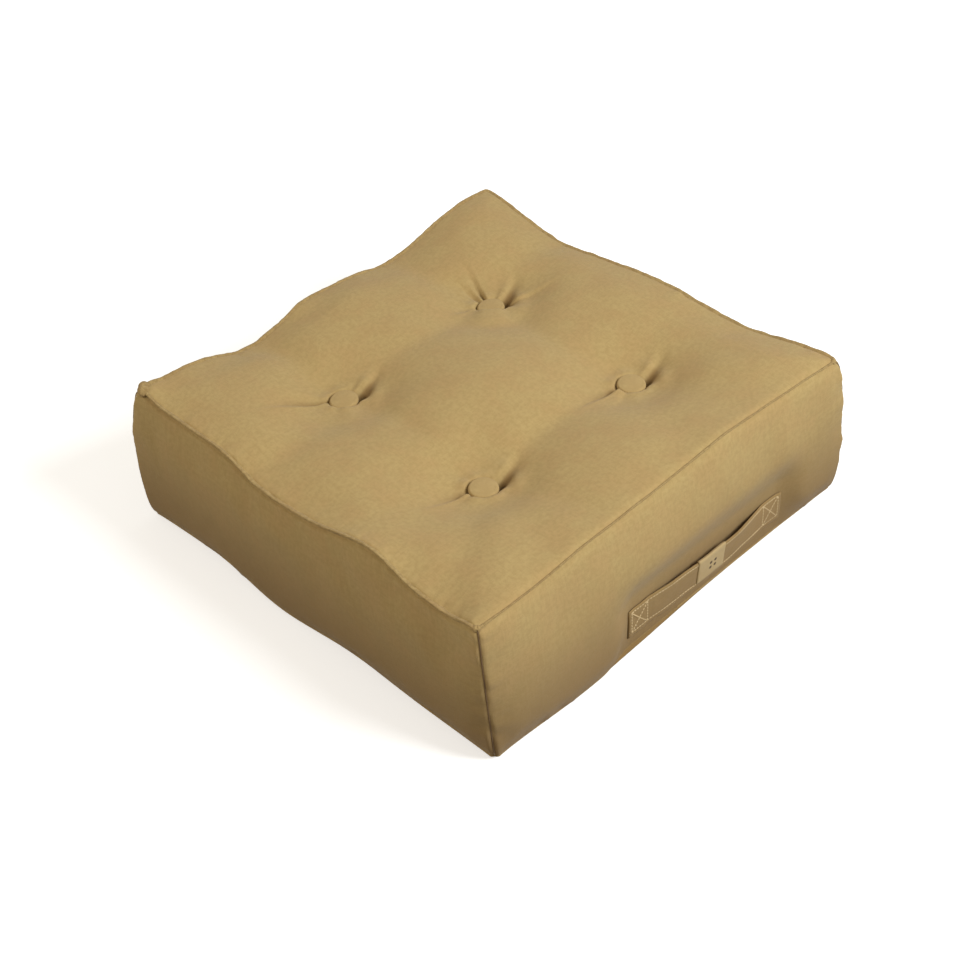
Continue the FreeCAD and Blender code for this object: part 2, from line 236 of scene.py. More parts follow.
coverSettings = {
    "cells": (80, 80, 26),
    "frames": 34,
    "pullFrames": 14,         # the tufts are drawn in over these
    "cloth": {
        "quality": 6,
        "mass": 0.35,
        "tension_stiffness": 18,
        "compression_stiffness": 12,
        "shear_stiffness": 6,
        "bending_stiffness": 3.0,
        "tension_damping": 12,
        "compression_damping": 12,
        "air_damping": 6,
        "shrink_min": -0.012,
        "use_pressure": True,
        "uniform_pressure_force": 10.0,
    },
    "tuftDisc": 1.08,         # share of the button's radius that is held flat
    "calming": 12,            # rounds of smoothing that take the creases out of the blown cloth
    "calmShare": 0.6,
    "calmReach": (1.1, 0.032),  # held round a tuft: in button radii, then easing off in metres
    "fine": 0.0014,           # spacing of the points at the seams, round the tufts and elsewhere
    "tuftFine": 0.0016,
    "coarse": 0.0032,
    "highest": 0.184,         # what stands over this is pressed down by the share
    "highShare": 0.6,
    "furthest": 0.2625,       # how far out the sides may stand
    "eased": 0.005,           # over this length, before they get there
    "cornerBow": {(-1, -1): 0.006, (1, -1): 0.009, (1, 1): 0.010, (-1, 1): 0.014},
    "bowFullness": 0.45,
    "cornerLean": (0.0062, 0.00372, 0.16),  # how far the front corner's top lies back and left, and its span
    "rounding": {"front": 10, "right": 6, "back": 4.5, "left": 4.5, "low": 5, "upright": 5},
    "roundingRows": 46,
    "underside": (0.007, 0.03),  # it hangs this far below its seam, from this far in
    "clothGap": 0.7,             # between the panels on the flat cloth, so no two look alike
}

# Heights above the sewn edge and distances out from it, in mm, along each side of the top.
# Each side starts where the one before it ends, going round from the front left corner.
seamShapes = {
    "front": {
        "rise": [(0, 6), (0.03, 9), (0.14, 8), (0.27, 12), (0.42, 12), (0.58, 14), (0.67, 16), (0.78, 13),
                 (0.9, 11), (1, 10)],
        "out": [(0, 1), (0.15, -3), (0.5, -5), (0.75, -5), (0.9, -2), (1, 1)],
    },
    "right": {
        "rise": [(0, 10), (0.1, 5), (0.22, -4), (0.32, -4), (0.43, -1), (0.53, -3), (0.65, -9), (0.77, -12),
                 (0.88, -3), (1, 6)],
        "out": [(0, 1), (0.25, -1), (0.45, 1), (0.77, -3), (0.9, -1), (1, 1)],
    },
    "back": {
        "rise": [(0, 6), (0.12, 6), (0.21, -3), (0.31, -12), (0.44, -5), (0.57, 0), (0.65, -10), (0.74, -14),
                 (0.86, 2), (0.95, 5), (1, 10)],
        "out": [(0, 1), (0.3, -2), (0.5, 1), (0.72, -4), (0.87, 0), (1, 1)],
    },
    "left": {
        "rise": [(0, 10), (0.06, 1), (0.27, -2), (0.37, -11), (0.45, -11), (0.57, -5), (0.7, 6), (0.8, -3),
                 (0.91, -5), (1, 6)],
        "out": [(0, 1), (0.28, 0), (0.4, 4), (0.55, 3), (0.7, -1), (0.82, 2), (0.92, 2), (1, 1)],
    },
}
sideOrder = ("front", "right", "back", "left")
seamLift = 0.0008             # the seams lie this far over the heights above
lowRise = -0.0062             # the bottom edge, from its CAD seam
# how far the bottom edge stands out, along the sides and at each side's first and last corner
lowOut = {"side": 0.0065, "front": (0.004, 0.005), "right": (0.005, 0.006), "back": (0.006, 0.011),
          "left": (0.011, 0.004)}
# where the fill pushes the bottom edge out further: place along the side, half width and amount
lowBulge = {"front": (0.24, 0.14, 0.006), "left": (0.42, 0.14, 0.006)}
# small wanderings of the seams: amount, spacing along the side and seed
seamWander = {"top": (0.0008, 0.05, 0), "lowRise": (0.0012, 0.17, 40), "lowOut": (0.003, 0.21, 50)}


def wander(kind, side, places):
    amount, spacing, seed = seamWander[kind]
    return amount * softNoise(places, spacing, seed + len(side)) * np.sin(places * math.pi)


def seamCurve(side, places, top):
    # points along one sewn edge, going round from the front left corner
    if top:
        rise = softCurve(seamShapes[side]["rise"], places) / 1000 + seamLift + wander("top", side, places)
        out = softCurve(seamShapes[side]["out"], places) / 1000
    else:
        rise = lowRise + wander("lowRise", side, places)
        out = lowOut["side"] + wander("lowOut", side, places)
        if side in lowBulge:
            place, wide, amount = lowBulge[side]
            out = out + amount * hump(places - place, wide)
        first, last = lowOut[side]
        out = out + (first - out[0]) * (1 - places) ** 5 + (last - out[-1]) * places**5
    height = (topSeam if top else lowSeam) + rise
    along, across = (halfX, halfY) if side in ("front", "back") else (halfY, halfX)
    walk = -(along + out[0]) + (2 * along + out[0] + out[-1]) * places
    distance = across + out
    leanBack, leanLeft, span = coverSettings["cornerLean"]
    if side == "front":
        near = np.clip(1 - places / span, 0, 1) ** 2 * top
        return np.stack([walk - leanLeft * near, leanBack * near - distance, height], 1)
    if side == "right":
        return np.stack([distance, walk, height], 1)
    if side == "back":
        return np.stack([-walk, distance, height], 1)
    near = np.clip((places - (1 - span)) / span, 0, 1) ** 2 * top
    return np.stack([-distance - leanLeft * near, leanBack * near - walk, height], 1)


def tuftReach(x, y, signs):
    # how far these places are from one tuft
    return np.hypot(x - signs[0] * tuftX, y - signs[1] * tuftY)


def boxLattice(counts):
    # numbers the surface points of a lattice and lists its outward quads, panel by panel
    nx, ny, nz = counts
    number = -np.ones((nx + 1, ny + 1, nz + 1), int)
    shell = np.zeros_like(number, bool)
    shell[[0, -1]] = True
    shell[:, [0, -1]] = True
    shell[:, :, [0, -1]] = True
    number[shell] = np.arange(shell.sum())
    panels = {
        "top": (number[:, :, -1], False), "bottom": (number[:, :, 0], True),
        "front": (number[:, 0, :], False), "back": (number[:, -1, :], True),
        "right": (number[-1, :, :], False), "left": (number[0, :, :], True),
    }
    return number, panels


def quadsOf(numbers, flipped):
    a, b = numbers[:-1, :-1], numbers[1:, :-1]
    c, d = numbers[1:, 1:], numbers[:-1, 1:]
    quads = np.stack([a, b, c, d], -1).reshape(-1, 4)
    return quads[:, ::-1] if flipped else quads


def coonsPatch(low, high, left, right):
    # fills a panel between its four edges: low and high run along u, left and right along v
    u = np.linspace(0, 1, len(low))[:, None, None]
    v = np.linspace(0, 1, len(left))[None, :, None]
    ruled = (1 - v) * low[:, None] + v * high[:, None] + (1 - u) * left[None] + u * right[None]
    corner = ((1 - u) * (1 - v) * low[0] + u * (1 - v) * low[-1] + (1 - u) * v * high[0] + u * v * high[-1])
    return ruled - corner


def cornerSeam(low, high, count, signs):
    # an upright corner seam, which bows out between its ends
    f = np.linspace(0, 1, count)[:, None]
    out = np.array([signs[0], signs[1], 0]) / math.sqrt(2)
    bow = coverSettings["cornerBow"][signs] * (4 * f * (1 - f)) ** coverSettings["bowFullness"]
    return low * (1 - f) + high * f + bow * out


def startGrids():
    nx, ny, nz = coverSettings["cells"]
    edges = {}
    for top in (True, False):
        for side in sideOrder:
            count = nx if side in ("front", "back") else ny
            edges[side, top] = seamCurve(side, np.linspace(0, 1, count + 1), top)
        for index, side in enumerate(sideOrder):
            following = sideOrder[(index + 1) % 4]
            shared = (edges[side, top][-1] + edges[following, top][0]) / 2
            edges[side, top][-1] = shared
            edges[following, top][0] = shared
    low = {side: edges[side, False] for side in sideOrder}
    high = {side: edges[side, True] for side in sideOrder}
    # the back and left edges go round the other way, so they are turned for the panels
    for part in (low, high):
        part["back"] = part["back"][::-1]
        part["left"] = part["left"][::-1]
    up = {}
    for signs in corners.values():
        side = "front" if signs[1] < 0 else "back"
        end = 0 if signs[0] < 0 else -1
        up[signs] = cornerSeam(low[side][end], high[side][end], nz + 1, signs)
    return {
        "top": coonsPatch(high["front"], high["back"], high["left"], high["right"]),
        "bottom": coonsPatch(low["front"], low["back"], low["left"], low["right"]),
        "front": coonsPatch(low["front"], high["front"], up[-1, -1], up[1, -1]),
        "back": coonsPatch(low["back"], high["back"], up[-1, 1], up[1, 1]),
        "left": coonsPatch(low["left"], high["left"], up[-1, -1], up[-1, 1]),
        "right": coonsPatch(low["right"], high["right"], up[1, -1], up[1, 1]),
    }


def blowUp(grids):
    # cloth simulation: the seams and tufts are held, the tufts are drawn in, and pressure fills the rest
    s = coverSettings
    number, panels = boxLattice(s["cells"])
    points = np.zeros((number.max() + 1, 3))
    faces = []
    held = set()
    for name, (numbers, flipped) in panels.items():
        points[numbers.ravel()] = grids[name].reshape(-1, 3)
        faces += quadsOf(numbers, flipped).tolist()
        for rim in (numbers[0], numbers[-1], numbers[:, 0], numbers[:, -1]):
            held.update(rim.tolist())
    pulled = points.copy()
    for name, seat in (("top", topSeat), ("bottom", lowSeat)):
        for signs in corners.values():
            numbers = panels[name][0].ravel()
            reach = tuftReach(points[numbers, 0], points[numbers, 1], signs)
            disc = numbers[reach < buttonRadius * s["tuftDisc"]]
            pulled[disc, 2] = seat
            held.update(disc.tolist())
    piece = newPiece("cover_cloth", points, faces)
    piece.shape_key_add(name="flat")
    key = piece.shape_key_add(name="pulled")
    key.data.foreach_set("co", pulled.ravel())
    group = piece.vertex_groups.new(name="held")
    group.add([int(i) for i in held], 1.0, "REPLACE")
    cloth = piece.modifiers.new("cloth", "CLOTH")
    cloth.settings.vertex_group_mass = "held"
    for setting, value in s["cloth"].items():
        setattr(cloth.settings, setting, value)
    cloth.settings.effector_weights.gravity = 0
    cloth.point_cache.frame_start = 1
    cloth.point_cache.frame_end = s["frames"]
    for value, frameNumber in ((0, 1), (1, s["pullFrames"])):
        key.value = value
        key.keyframe_insert("value", frame=frameNumber)
    for frameNumber in range(1, s["frames"] + 1):
        bpy.context.scene.frame_set(frameNumber)
    shaped = piece.evaluated_get(bpy.context.evaluated_depsgraph_get())
    moved = np.zeros(len(points) * 3)
    shaped.data.vertices.foreach_get("co", moved)
    moved = moved.reshape(-1, 3)
    action = piece.data.shape_keys.animation_data.action
    bpy.data.objects.remove(piece)
    bpy.data.actions.remove(action)
    bpy.context.scene.frame_set(1)
    return {name: moved[numbers] for name, (numbers, flipped) in panels.items()}


def calm(name, grid):
    # smooths a blown panel, except close to its seams and tufts
    hold = np.zeros(grid.shape[:2])
    if name in ("top", "bottom"):
        near = buttonRadius * coverSettings["calmReach"][0]
        for signs in corners.values():
            reach = tuftReach(grid[..., 0], grid[..., 1], signs)
            hold = np.maximum(hold, 1 - smoothStep(reach, near, near + coverSettings["calmReach"][1]))
    free = coverSettings["calmShare"] * (1 - hold)[1:-1, 1:-1, None]
    for turn in range(coverSettings["calming"]):
        around = (grid[:-2, 1:-1] + grid[2:, 1:-1] + grid[1:-1, :-2] + grid[1:-1, 2:]) / 4
        grid[1:-1, 1:-1] += free * (around - grid[1:-1, 1:-1])
    return grid


def fineSteps(length, count, marks):
    # fractional places along a row of count cells, closer together near the ends and the marks
    fine, tuftFine, coarse = (coverSettings[key] for key in ("fine", "tuftFine", "coarse"))
    places = [0.0]
    while places[-1] < 1:
        at = places[-1] * length
        step = fine + (coarse - fine) * smoothStep(min(at, length - at), 0.008, 0.022)
        for mark in marks:
            step = min(step, tuftFine + (coarse - tuftFine) * smoothStep(abs(at - mark), 0.034, 0.05))
        places.append(places[-1] + step / length)
    places = np.array(places) / places[-1]
    return places * count


def panelNormals(grid, flipped):
    normals = np.cross(np.gradient(grid, axis=0), np.gradient(grid, axis=1))
    normals /= np.linalg.norm(normals, axis=2, keepdims=True) + 1e-12
    return -normals if flipped else normals


def edgeDistances(grid):
    # how far each point is, along the cloth, from the panel's four edges
    first = np.linalg.norm(np.diff(grid, axis=0), axis=2)
    second = np.linalg.norm(np.diff(grid, axis=1), axis=2)
    fromStart = np.concatenate([np.zeros((1, grid.shape[1])), np.cumsum(first, 0)], 0)
    fromLow = np.concatenate([np.zeros((grid.shape[0], 1)), np.cumsum(second, 1)], 1)
    return fromStart, fromStart[-1:] - fromStart, fromLow, fromLow[:, -1:] - fromLow


# Folds that run out from each tuft: direction in degrees, start and length in mm, depth, half width
# on its two sides, and how much it bends.
tuftFolds = {
    "left_back": [
        (150, 13, 80, 5.4, 2.5, 12, 9), (-20, 9, 46, 9.5, 6, 8.5, 26), (112, 16, 50, 1.0, 7, 4, 5),
        (-30, 13, 28, 3.5, 10, 3, 5),
    ],
    "right_front": [
        (170, 14, 70, 4.6, 2.5, 14, 8), (-20, 9, 46, 9.5, 6, 8.5, 26), (206, 18, 55, 1.4, 9, 6, -8),
    ],
    "left_front": [
        (160, 14, 58, 4.2, 2.5, 14, 7), (-20, 9, 46, 10.5, 6, 8.5, 26), (92, 16, 44, 1.2, 7, 6, 4),
    ],
    "right_back": [
        (66, 13, 60, 5.4, 4, 2.2, 6), (84, 15, 42, 4.8, 4, 2.2, 4), (150, 12, 44, 3.0, 3, 10, 6),
        (-12, 9, 46, 10.5, 6, 9, 28), (-32, 16, 70, 3.6, 3, 14, 10),
    ],
}
tuftSettings = {
    # how far the near puff leans over each button
    "lean": {"left_back": 0.5, "right_front": 0.4, "left_front": 0.3, "right_back": 0.95},
    "side": (-0.18, 2.1),                 # the swelling beside a fold, and how many half widths away
    "pocket": -14,                        # the way the deep pocket runs, in degrees
    "ring": (0.0034, 0.0024, 0.0205, 0.0055),   # lip round a button: height, draw-in, radius, width
    "wall": (0.0035, 0.031, 0.009),       # far wall of the pocket: height, radius, width
    "facing": 226,                        # the way to the near puff, in degrees
    "swell": (0.0082, 0.028, 0.014),      # its height, radius and width
    "tip": (0.0072, 0.0245, 0.008),       # and how its tip leans in
}


def foldTuft(name, grid):
    # draws folds into the top around one tuft, and lets the near puff lean over the button
    s = tuftSettings
    signs = corners[name]
    x = grid[..., 0] - signs[0] * tuftX
    y = grid[..., 1] - signs[1] * tuftY
    reach = np.hypot(x, y)
    drop = np.zeros_like(x)
    for direction, start, length, depth, wideLeft, wideRight, bend in tuftFolds[name]:
        turn = math.radians(direction)
        along = (x * math.cos(turn) + y * math.sin(turn)) * 1000
        across = (-x * math.sin(turn) + y * math.cos(turn)) * 1000
        f = np.clip((along - start) / length, 0, 1)
        across = across - bend * f**2
        wide = np.where(across > 0, wideLeft, wideRight) * (0.55 + 0.9 * f)
        strength = smoothStep(along, start - 6, start + 5) * (1 - f) ** 1.2
        beside = hump(np.abs(across) - s["side"][1] * wide, wide)
        drop += depth * strength * (hump(across, wide) + s["side"][0] * beside)
    angle = np.arctan2(y, x)
    toPocket = np.clip(np.cos(angle - math.radians(s["pocket"])), 0, 1)
    height, draw, radius, width = s["ring"]
    ring = hump(reach - radius, width) * (1 - toPocket**2.5)
    grid[..., 2] += height * ring
    grid[..., 0] -= draw * ring * np.cos(angle)
    grid[..., 1] -= draw * ring * np.sin(angle)
    height, radius, width = s["wall"]
    grid[..., 2] += height * hump(reach - radius, width) * toPocket**2
    lean = s["lean"][name]
    toward = math.radians(s["facing"])
    near = np.clip((x * math.cos(toward) + y * math.sin(toward)) / np.maximum(reach, 1e-6), 0, 1) ** 1.1
    height, radius, width = s["swell"]
    grid[..., 2] += lean * height * near * hump(reach - radius, width) - drop / 1000
    amount, radius, width = s["tip"]
    tip = lean * amount * near * hump(reach - radius, width)
    grid[..., 0] -= tip * math.cos(toward)
    grid[..., 1] -= tip * math.sin(toward)
    # the depth of the folds goes back as painted shade: the creases are coloured darker where shade falls in
    # them
    return drop


puckerSettings = {
    # depth, spacing and reach of the puckers along each kind of seam, in mm
    "top": {"front": (0.35, 9, 9), "right": (0.9, 11, 13), "back": (1.1, 10, 14), "left": (1.2, 11, 14)},
    "low": (1.3, 13, 18),
    "upright": (1.6, 14, 16),
    # the groove under the sewn ridge: its depth, place and half width
    "groove": {"front": (0.0004, 0.003, 0.0018), "other": (0.0021, 0.003, 0.0018)},
    "welt": (0.0017, 0.016),              # roll of cloth beside an upright seam: height and reach
    # painted shadow: how dark the cloth is coloured just under the sewn ridge and beside the upright seams
    "shade": {"front": 1.2, "other": 5.0, "upright": 5.5},
    "shadeReach": {"top": 0.0016, "upright": 0.0014},
    "drift": 0.25,                        # how far a crease leans over on its way in
    "second": (0.5, 2.3),                 # finer creases: their share, and how many times closer
    "patches": (0.045, -0.7, 0.6, 0.2),   # they come and go: spacing, where they start and end, least
    "clear": 0.003,                       # the seam itself stays straight
}


def addPuckers(name, grid, normals, distances):
    # short creases that run in from the stitching, and the painted shadow along the seams that goes back
    s = puckerSettings
    share, closer = s["second"]
    gap, start, end, least = s["patches"]
    fromStart, fromEnd, fromLow, fromHigh = distances
    total = np.zeros(grid.shape[:2])
    if name in ("top", "bottom"):
        sides = ((fromLow, "front", 0), (fromHigh, "back", 0), (fromStart, "left", 1), (fromEnd, "right", 1))
    else:
        sides = ((fromLow, "low", 0), (fromHigh, name, 0), (fromStart, "upright", 2), (fromEnd, "upright", 2))
    for index, (distance, kind, axis) in enumerate(sides):
        if name == "bottom" or kind == "low":
            depth, spacing, reach = s["low"]
        elif kind == "upright":
            depth, spacing, reach = s["upright"]
        else:
            depth, spacing, reach = s["top"][kind]
        if name not in ("top", "bottom") and axis == 0:
            axis = 0 if name in ("front", "back") else 1
        where = grid[..., axis]
        drift = s["drift"] * distance
        waves = softNoise(where + drift, spacing / 1000, 11 * index + len(name))
        waves += share * softNoise(where - drift, spacing / 1000 / closer, 7 * index + len(kind))
        strength = smoothStep(softNoise(where, gap, 5 + index), start, end) * (1 - least) + least
        fade = smoothStep(distance, 0, s["clear"]) * np.exp(-(distance * 1000 / reach) ** 1.3)
        total += depth / 1000 * waves * strength * fade
    clear = smoothStep(np.minimum.reduce(distances), 0, s["clear"])
    if name in ("top", "bottom"):
        grid += normals * (total * clear)[..., None]
        return np.zeros(grid.shape[:2])
    which = "front" if name == "front" else "other"
    upright = np.minimum(fromStart, fromEnd)
    depth, place, wide = s["groove"][which]
    groove = depth * hump(fromHigh - place, wide)
    height, reach = s["welt"]
    welt = height * smoothStep(upright, 0.0002, 0.0036) * np.exp(-upright / reach)
    welt = welt * smoothStep(fromHigh, 0, 0.02)
    grid += normals * (total * clear - groove + welt)[..., None]
    # painted shadow: darker colour just under the top ridge and beside the upright seams
    topShade = s["shade"][which] * hump(fromHigh, s["shadeReach"]["top"])
    return topShade + s["shade"]["upright"] * hump(upright, s["shadeReach"]["upright"])


lumpSettings = {
    "clear": 0.045,               # how far in from the seams they reach their full height
    # height in mm, spacing in metres and seed
    "flat": [(1.5, 0.085, 3), (0.5, 0.033, 4)],
    "side": [(2.0, 0.06), (1.5, 0.032), (1.3, 0.024)],
    "share": {"front": 0.7, "left": 1.5},
    # height in mm and reach in metres
    "crown": (6.5, 0.08),         # the middle stands full between the four tufts
    "between": 3.0,
    "frontCorner": (3.5, 0.045),
    "frontBand": (3.5, 0.045),
    "frontPlace": 0.150,          # how far from the middle the last two stand
    "lowSwell": (6.5, 0.18, 0.26),  # fullness low down: height in mm, place and reach up the side
}


def addSoftLumps(name, grid, normals, distances):
    # the fill's own unevenness, with slack folds hanging down the sides
    s = lumpSettings
    clear = smoothStep(np.minimum.reduce(distances), 0, s["clear"])
    if name in ("top", "bottom"):
        x, y = grid[..., 0], grid[..., 1]
        reach = np.min([tuftReach(x, y, signs) for signs in corners.values()], 0)
        lumps = sum(height * softField(x, y, spacing, seed) for height, spacing, seed in s["flat"])
        lumps = lumps * smoothStep(reach, 0.016, 0.05)
        if name == "top":
            lumps = lumps + s["crown"][0] * hump(np.hypot(x, y), s["crown"][1])
            lumps = lumps + s["between"] * smoothStep(reach, 0.03, 0.08)
            fromCorner = np.hypot(x + s["frontPlace"], y + s["frontPlace"])
            lumps = lumps + s["frontCorner"][0] * hump(fromCorner, s["frontCorner"][1])
            band = hump(y + s["frontPlace"], s["frontBand"][1]) * smoothStep(reach, 0.02, 0.06)
            lumps = lumps + s["frontBand"][0] * band
    else:
        along, z = grid[..., 0 if name in ("front", "back") else 1], grid[..., 2]
        seed = len(name) * 3
        (broad, broadGap), (fine, fineGap), (leftFine, leftGap) = s["side"]
        lumps = broad * softField(along + 0.25 * z, z, broadGap, seed)
        lumps = lumps + fine * softField(along, z * 0.45, fineGap, seed + 1)
        lumps = lumps * s["share"].get(name, 1)
        if name == "left":
            lumps = lumps + leftFine * softField(along - 0.4 * z, z * 0.5, leftGap, seed + 2)
        height, place, reach = s["lowSwell"]
        up = (z - lowSeam) / (topSeam - lowSeam)
        lumps = lumps + height * hump(up - place, reach)
    grid += normals * (lumps / 1000 * clear)[..., None]


strapHold = {
    "face": -0.2488,              # the strap's stitching holds the front in to here
    "give": 0.02,
    "start": (-0.115, -0.06),     # along the side, fading in and out
    "end": (0.15, 0.2),
    "up": (0.07, 0.115),
}


def drawInSides(name, grid):
    # the strap's stitching holds the front in, and nothing stands out past its limit
    if name == "front":
        s = strapHold
        x, y, z = grid[..., 0], grid[..., 1], grid[..., 2]
        near = smoothStep(x, *s["start"]) * (1 - smoothStep(x, *s["end"])) * (1 - smoothStep(z, *s["up"]))
        held = np.maximum(y, s["face"] - s["give"] * np.maximum(0, s["face"] - y))
        grid[..., 1] += near * (held - y)
    eased = coverSettings["eased"]
    limit = coverSettings["furthest"] - eased
    for axis in (0, 1):
        over = np.abs(grid[..., axis]) - limit
        inside = limit + eased * np.tanh(np.maximum(over, 0) / eased)
        grid[..., axis] = np.where(over > 0, np.sign(grid[..., axis]) * inside, grid[..., axis])


def settle(grid):
    # flattens whatever reaches the ground
    start, ground, span = 0.006, 0.0004, 0.0056
    z = grid[..., 2]
    grid[..., 2] = np.where(z < start, ground + span * np.exp((z - start) / span), z)
    grid[..., 2] = np.maximum(grid[..., 2], ground - 0.0001)


def roundOver(first, second, soft):
    # eases the turn where two panels meet; both run away from their shared edge along axis 1
    count = coverSettings["roundingRows"]
    strip = np.concatenate([first[:, :count][:, ::-1], second[:, 1:count]], 1)
    walk = np.linalg.norm(np.diff(strip, axis=1), axis=2)
    along = np.concatenate([np.zeros((len(strip), 1)), np.cumsum(walk, 1)], 1)
    along = (along - along[:, count - 1:count]) * 1000
    share = np.gradient(along, axis=1)
    weight = np.exp(-0.5 * ((along[:, :, None] - along[:, None, :]) / soft) ** 2) * share[:, None, :]
    eased = np.einsum("aij,ajc->aic", weight, strip) / weight.sum(2)[..., None]
    strip = strip + hump(along, 1.7 * soft)[..., None] * (eased - strip)
    first[:, :count] = strip[:, :count][:, ::-1]
    second[:, 1:count] = strip[:, count:]
    second[:, 0] = first[:, 0]


def turned(grid, edge):
    # a view of a panel that runs away from one of its edges
    if edge == "low":
        return grid
    if edge == "high":
        return grid[:, ::-1]
    swapped = np.swapaxes(grid, 0, 1)
    return swapped if edge == "start" else swapped[:, ::-1]


def roundAllEdges(fine):
    soft = coverSettings["rounding"]
    for side, edge in (("front", "low"), ("back", "high"), ("left", "start"), ("right", "end")):
        roundOver(turned(fine["top"], edge), turned(fine[side], "high"), soft[side])
        roundOver(turned(fine["bottom"], edge), turned(fine[side], "low"), soft["low"])
    for side, otherEdge in (("front", "start"), ("back", "end")):
        for edge, other in (("start", "left"), ("end", "right")):
            roundOver(turned(fine[side], edge), turned(fine[other], otherEdge), soft["upright"])


def clothPlaces(name, grid):
    # where each point lies on its flat piece of linen
    if name in ("top", "bottom"):
        return np.stack([grid[..., 0], grid[..., 1], np.zeros(grid.shape[:2])], 2)
    fromStart, _, fromLow, _ = edgeDistances(grid)
    return np.stack([fromStart, fromLow, np.zeros(grid.shape[:2])], 2)


def makeCover(coarse):
    nx, ny, nz = coverSettings["cells"]
    acrossX = fineSteps(2 * halfX, nx, (halfX - tuftX, halfX + tuftX))
    acrossY = fineSteps(2 * halfY, ny, (halfY - tuftY, halfY + tuftY))
    upward = fineSteps(topSeam - lowSeam, nz, ())
    steps = {"top": (acrossX, acrossY), "bottom": (acrossX, acrossY), "front": (acrossX, upward),
             "back": (acrossX, upward), "left": (acrossY, upward), "right": (acrossY, upward)}
    number, panels = boxLattice((len(acrossX) - 1, len(acrossY) - 1, len(upward) - 1))
    points = np.zeros((number.max() + 1, 3))
    # painted shade from the tuft creases and under the seam ridges, gathered point by point
    shade = np.zeros(len(points))
    times = np.zeros(len(points))
    faces, places, shaped = [], [], {}
    clothGap = coverSettings["clothGap"]
    fine = {name: resample(coarse[name], *steps[name]) for name in panels}
    roundAllEdges(fine)
    for name, (numbers, flipped) in panels.items():
        grid = fine[name]
        normals = panelNormals(grid, flipped)
        distances = edgeDistances(grid)
        addSoftLumps(name, grid, normals, distances)
        drop = addPuckers(name, grid, normals, distances)
        if name == "top":
            for tuft in corners:
                drop += foldTuft(tuft, grid)
            over = np.maximum(grid[..., 2] - coverSettings["highest"], 0)
            grid[..., 2] -= over * coverSettings["highShare"]
        if name == "bottom":
            depth, reach = coverSettings["underside"]
            grid[..., 2] -= depth * smoothStep(np.minimum.reduce(distances), 0, reach)
        drawInSides(name, grid)
        settle(grid)
        shaped[name] = grid
        np.add.at(points, numbers.ravel(), grid.reshape(-1, 3))
        np.add.at(shade, numbers.ravel(), drop.ravel())
        np.add.at(times, numbers.ravel(), 1)
        faces += quadsOf(numbers, flipped).tolist()
        spread = quadsOf(numbered(*numbers.shape), flipped)
        places.append(clothPlaces(name, grid).reshape(-1, 3)[spread.ravel()] + clothGap * len(places))
    piece = newPiece("cushion_cover", points / times[:, None], faces)
    layCloth(piece, np.concatenate(places), "CORNER")
    markPaintedShade(piece, shade / times)
    return piece, shaped


blown = {name: calm(name, grid) for name, grid in blowUp(startGrids()).items()}
print("cover blown up")
cover, panelShapes = makeCover(blown)
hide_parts("top_panel", "bottom_panel", "front_side_panel", "back_side_panel", "left_side_panel",
            "right_side_panel", "fibre_fill")
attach(cover, cushion)
print("cover sewn", len(cover.data.vertices), "points")


def sweepBand(name, path, outward, section, heights, widths, closed, place):
    # carries a cross section along a path; outward points are stacked like the path
    path, outward = np.asarray(path), np.asarray(outward)
    if closed:
        tangent = np.roll(path, -1, 0) - np.roll(path, 1, 0)
    else:
        tangent = np.gradient(path, axis=0)
    tangent /= np.linalg.norm(tangent, axis=1, keepdims=True) + 1e-12
    outward = outward - tangent * (outward * tangent).sum(1, keepdims=True)
    outward /= np.linalg.norm(outward, axis=1, keepdims=True) + 1e-12
    side = np.cross(tangent, outward)
    rings = []
    for across, up in section:
        rings.append(path + side * (across * widths)[:, None] + outward * (up * heights)[:, None])
    points = np.stack(rings, 1)
    rows, columns = points.shape[:2]
    numbers = numbered(rows, columns)
    faces = ringQuads(numbers, True) if closed else cappedRings(numbers)
    piece = newPiece(name, points.reshape(-1, 3), [face[::-1] for face in faces])
    around = np.tile(np.arange(columns) * 0.0012, rows)
    length = np.repeat(walkAlong(path), columns)
    layCloth(piece, np.stack([length, around, np.full(rows * columns, place)], 1))
    return piece


def smoothRound(values, reach):
    # running average over reach points either side, round a closed loop
    return sum(np.roll(values, shift, 0) for shift in range(-reach, reach + 1)) / (2 * reach + 1)


# The sewn edges stand up as narrow ridges of turned-in cloth.
ridgeSettings = {
    "height": {"front": 1.7, "right": 3.3, "back": 3.4, "left": 3.4},     # mm above the seam
    "width": {"front": 0.9, "right": 1.35, "back": 1.4, "left": 1.4},
    "ear": {"left_back": (-0.6, 0.9), "left_front": (-0.8, 0.5), "right_back": (-1.2, 0.4),
            "right_front": (-0.8, 0.5)},
    "earReach": 9,
    "bottomHeight": (0.35, 0.4),          # share of the height above, and mm added to it
    "bottomWidth": 0.9,
    "lowestLean": -0.35,
    "smoothLean": 4,                      # points either side
    "smoothSize": 12,
    # share, spacing and seed
    "uneven": ((0.16, 0.013, 21), (0.08, 0.0045, 22)),
    "unevenWidth": (0.12, 0.009, 23),
    "upright": (0.0006, 0.00055, 0.35, 0.007),  # corner seam: height, half width, unevenness, spacing
    "earSeat": (0.0012, 0.0008),          # how far in and down each ear sits
    "earCrease": (0.20, 0.16),            # depth and width of the crease over it
    "earSizes": {
        "left_back": (0.0062, 0.0100, 0.0066),
        "left_front": (0.0034, 0.0046, 0.0036),
        "right_front": (0.0034, 0.0046, 0.0036),
        "right_back": (0.003, 0.004, 0.003),
    },
    "section": [(-1.5, -0.55), (-1.15, 0.0), (-1.0, 0.45), (-0.72, 0.82), (0.0, 1.0), (0.72, 0.82),
                (1.0, 0.45), (1.15, 0.0), (1.5, -0.55)],
}


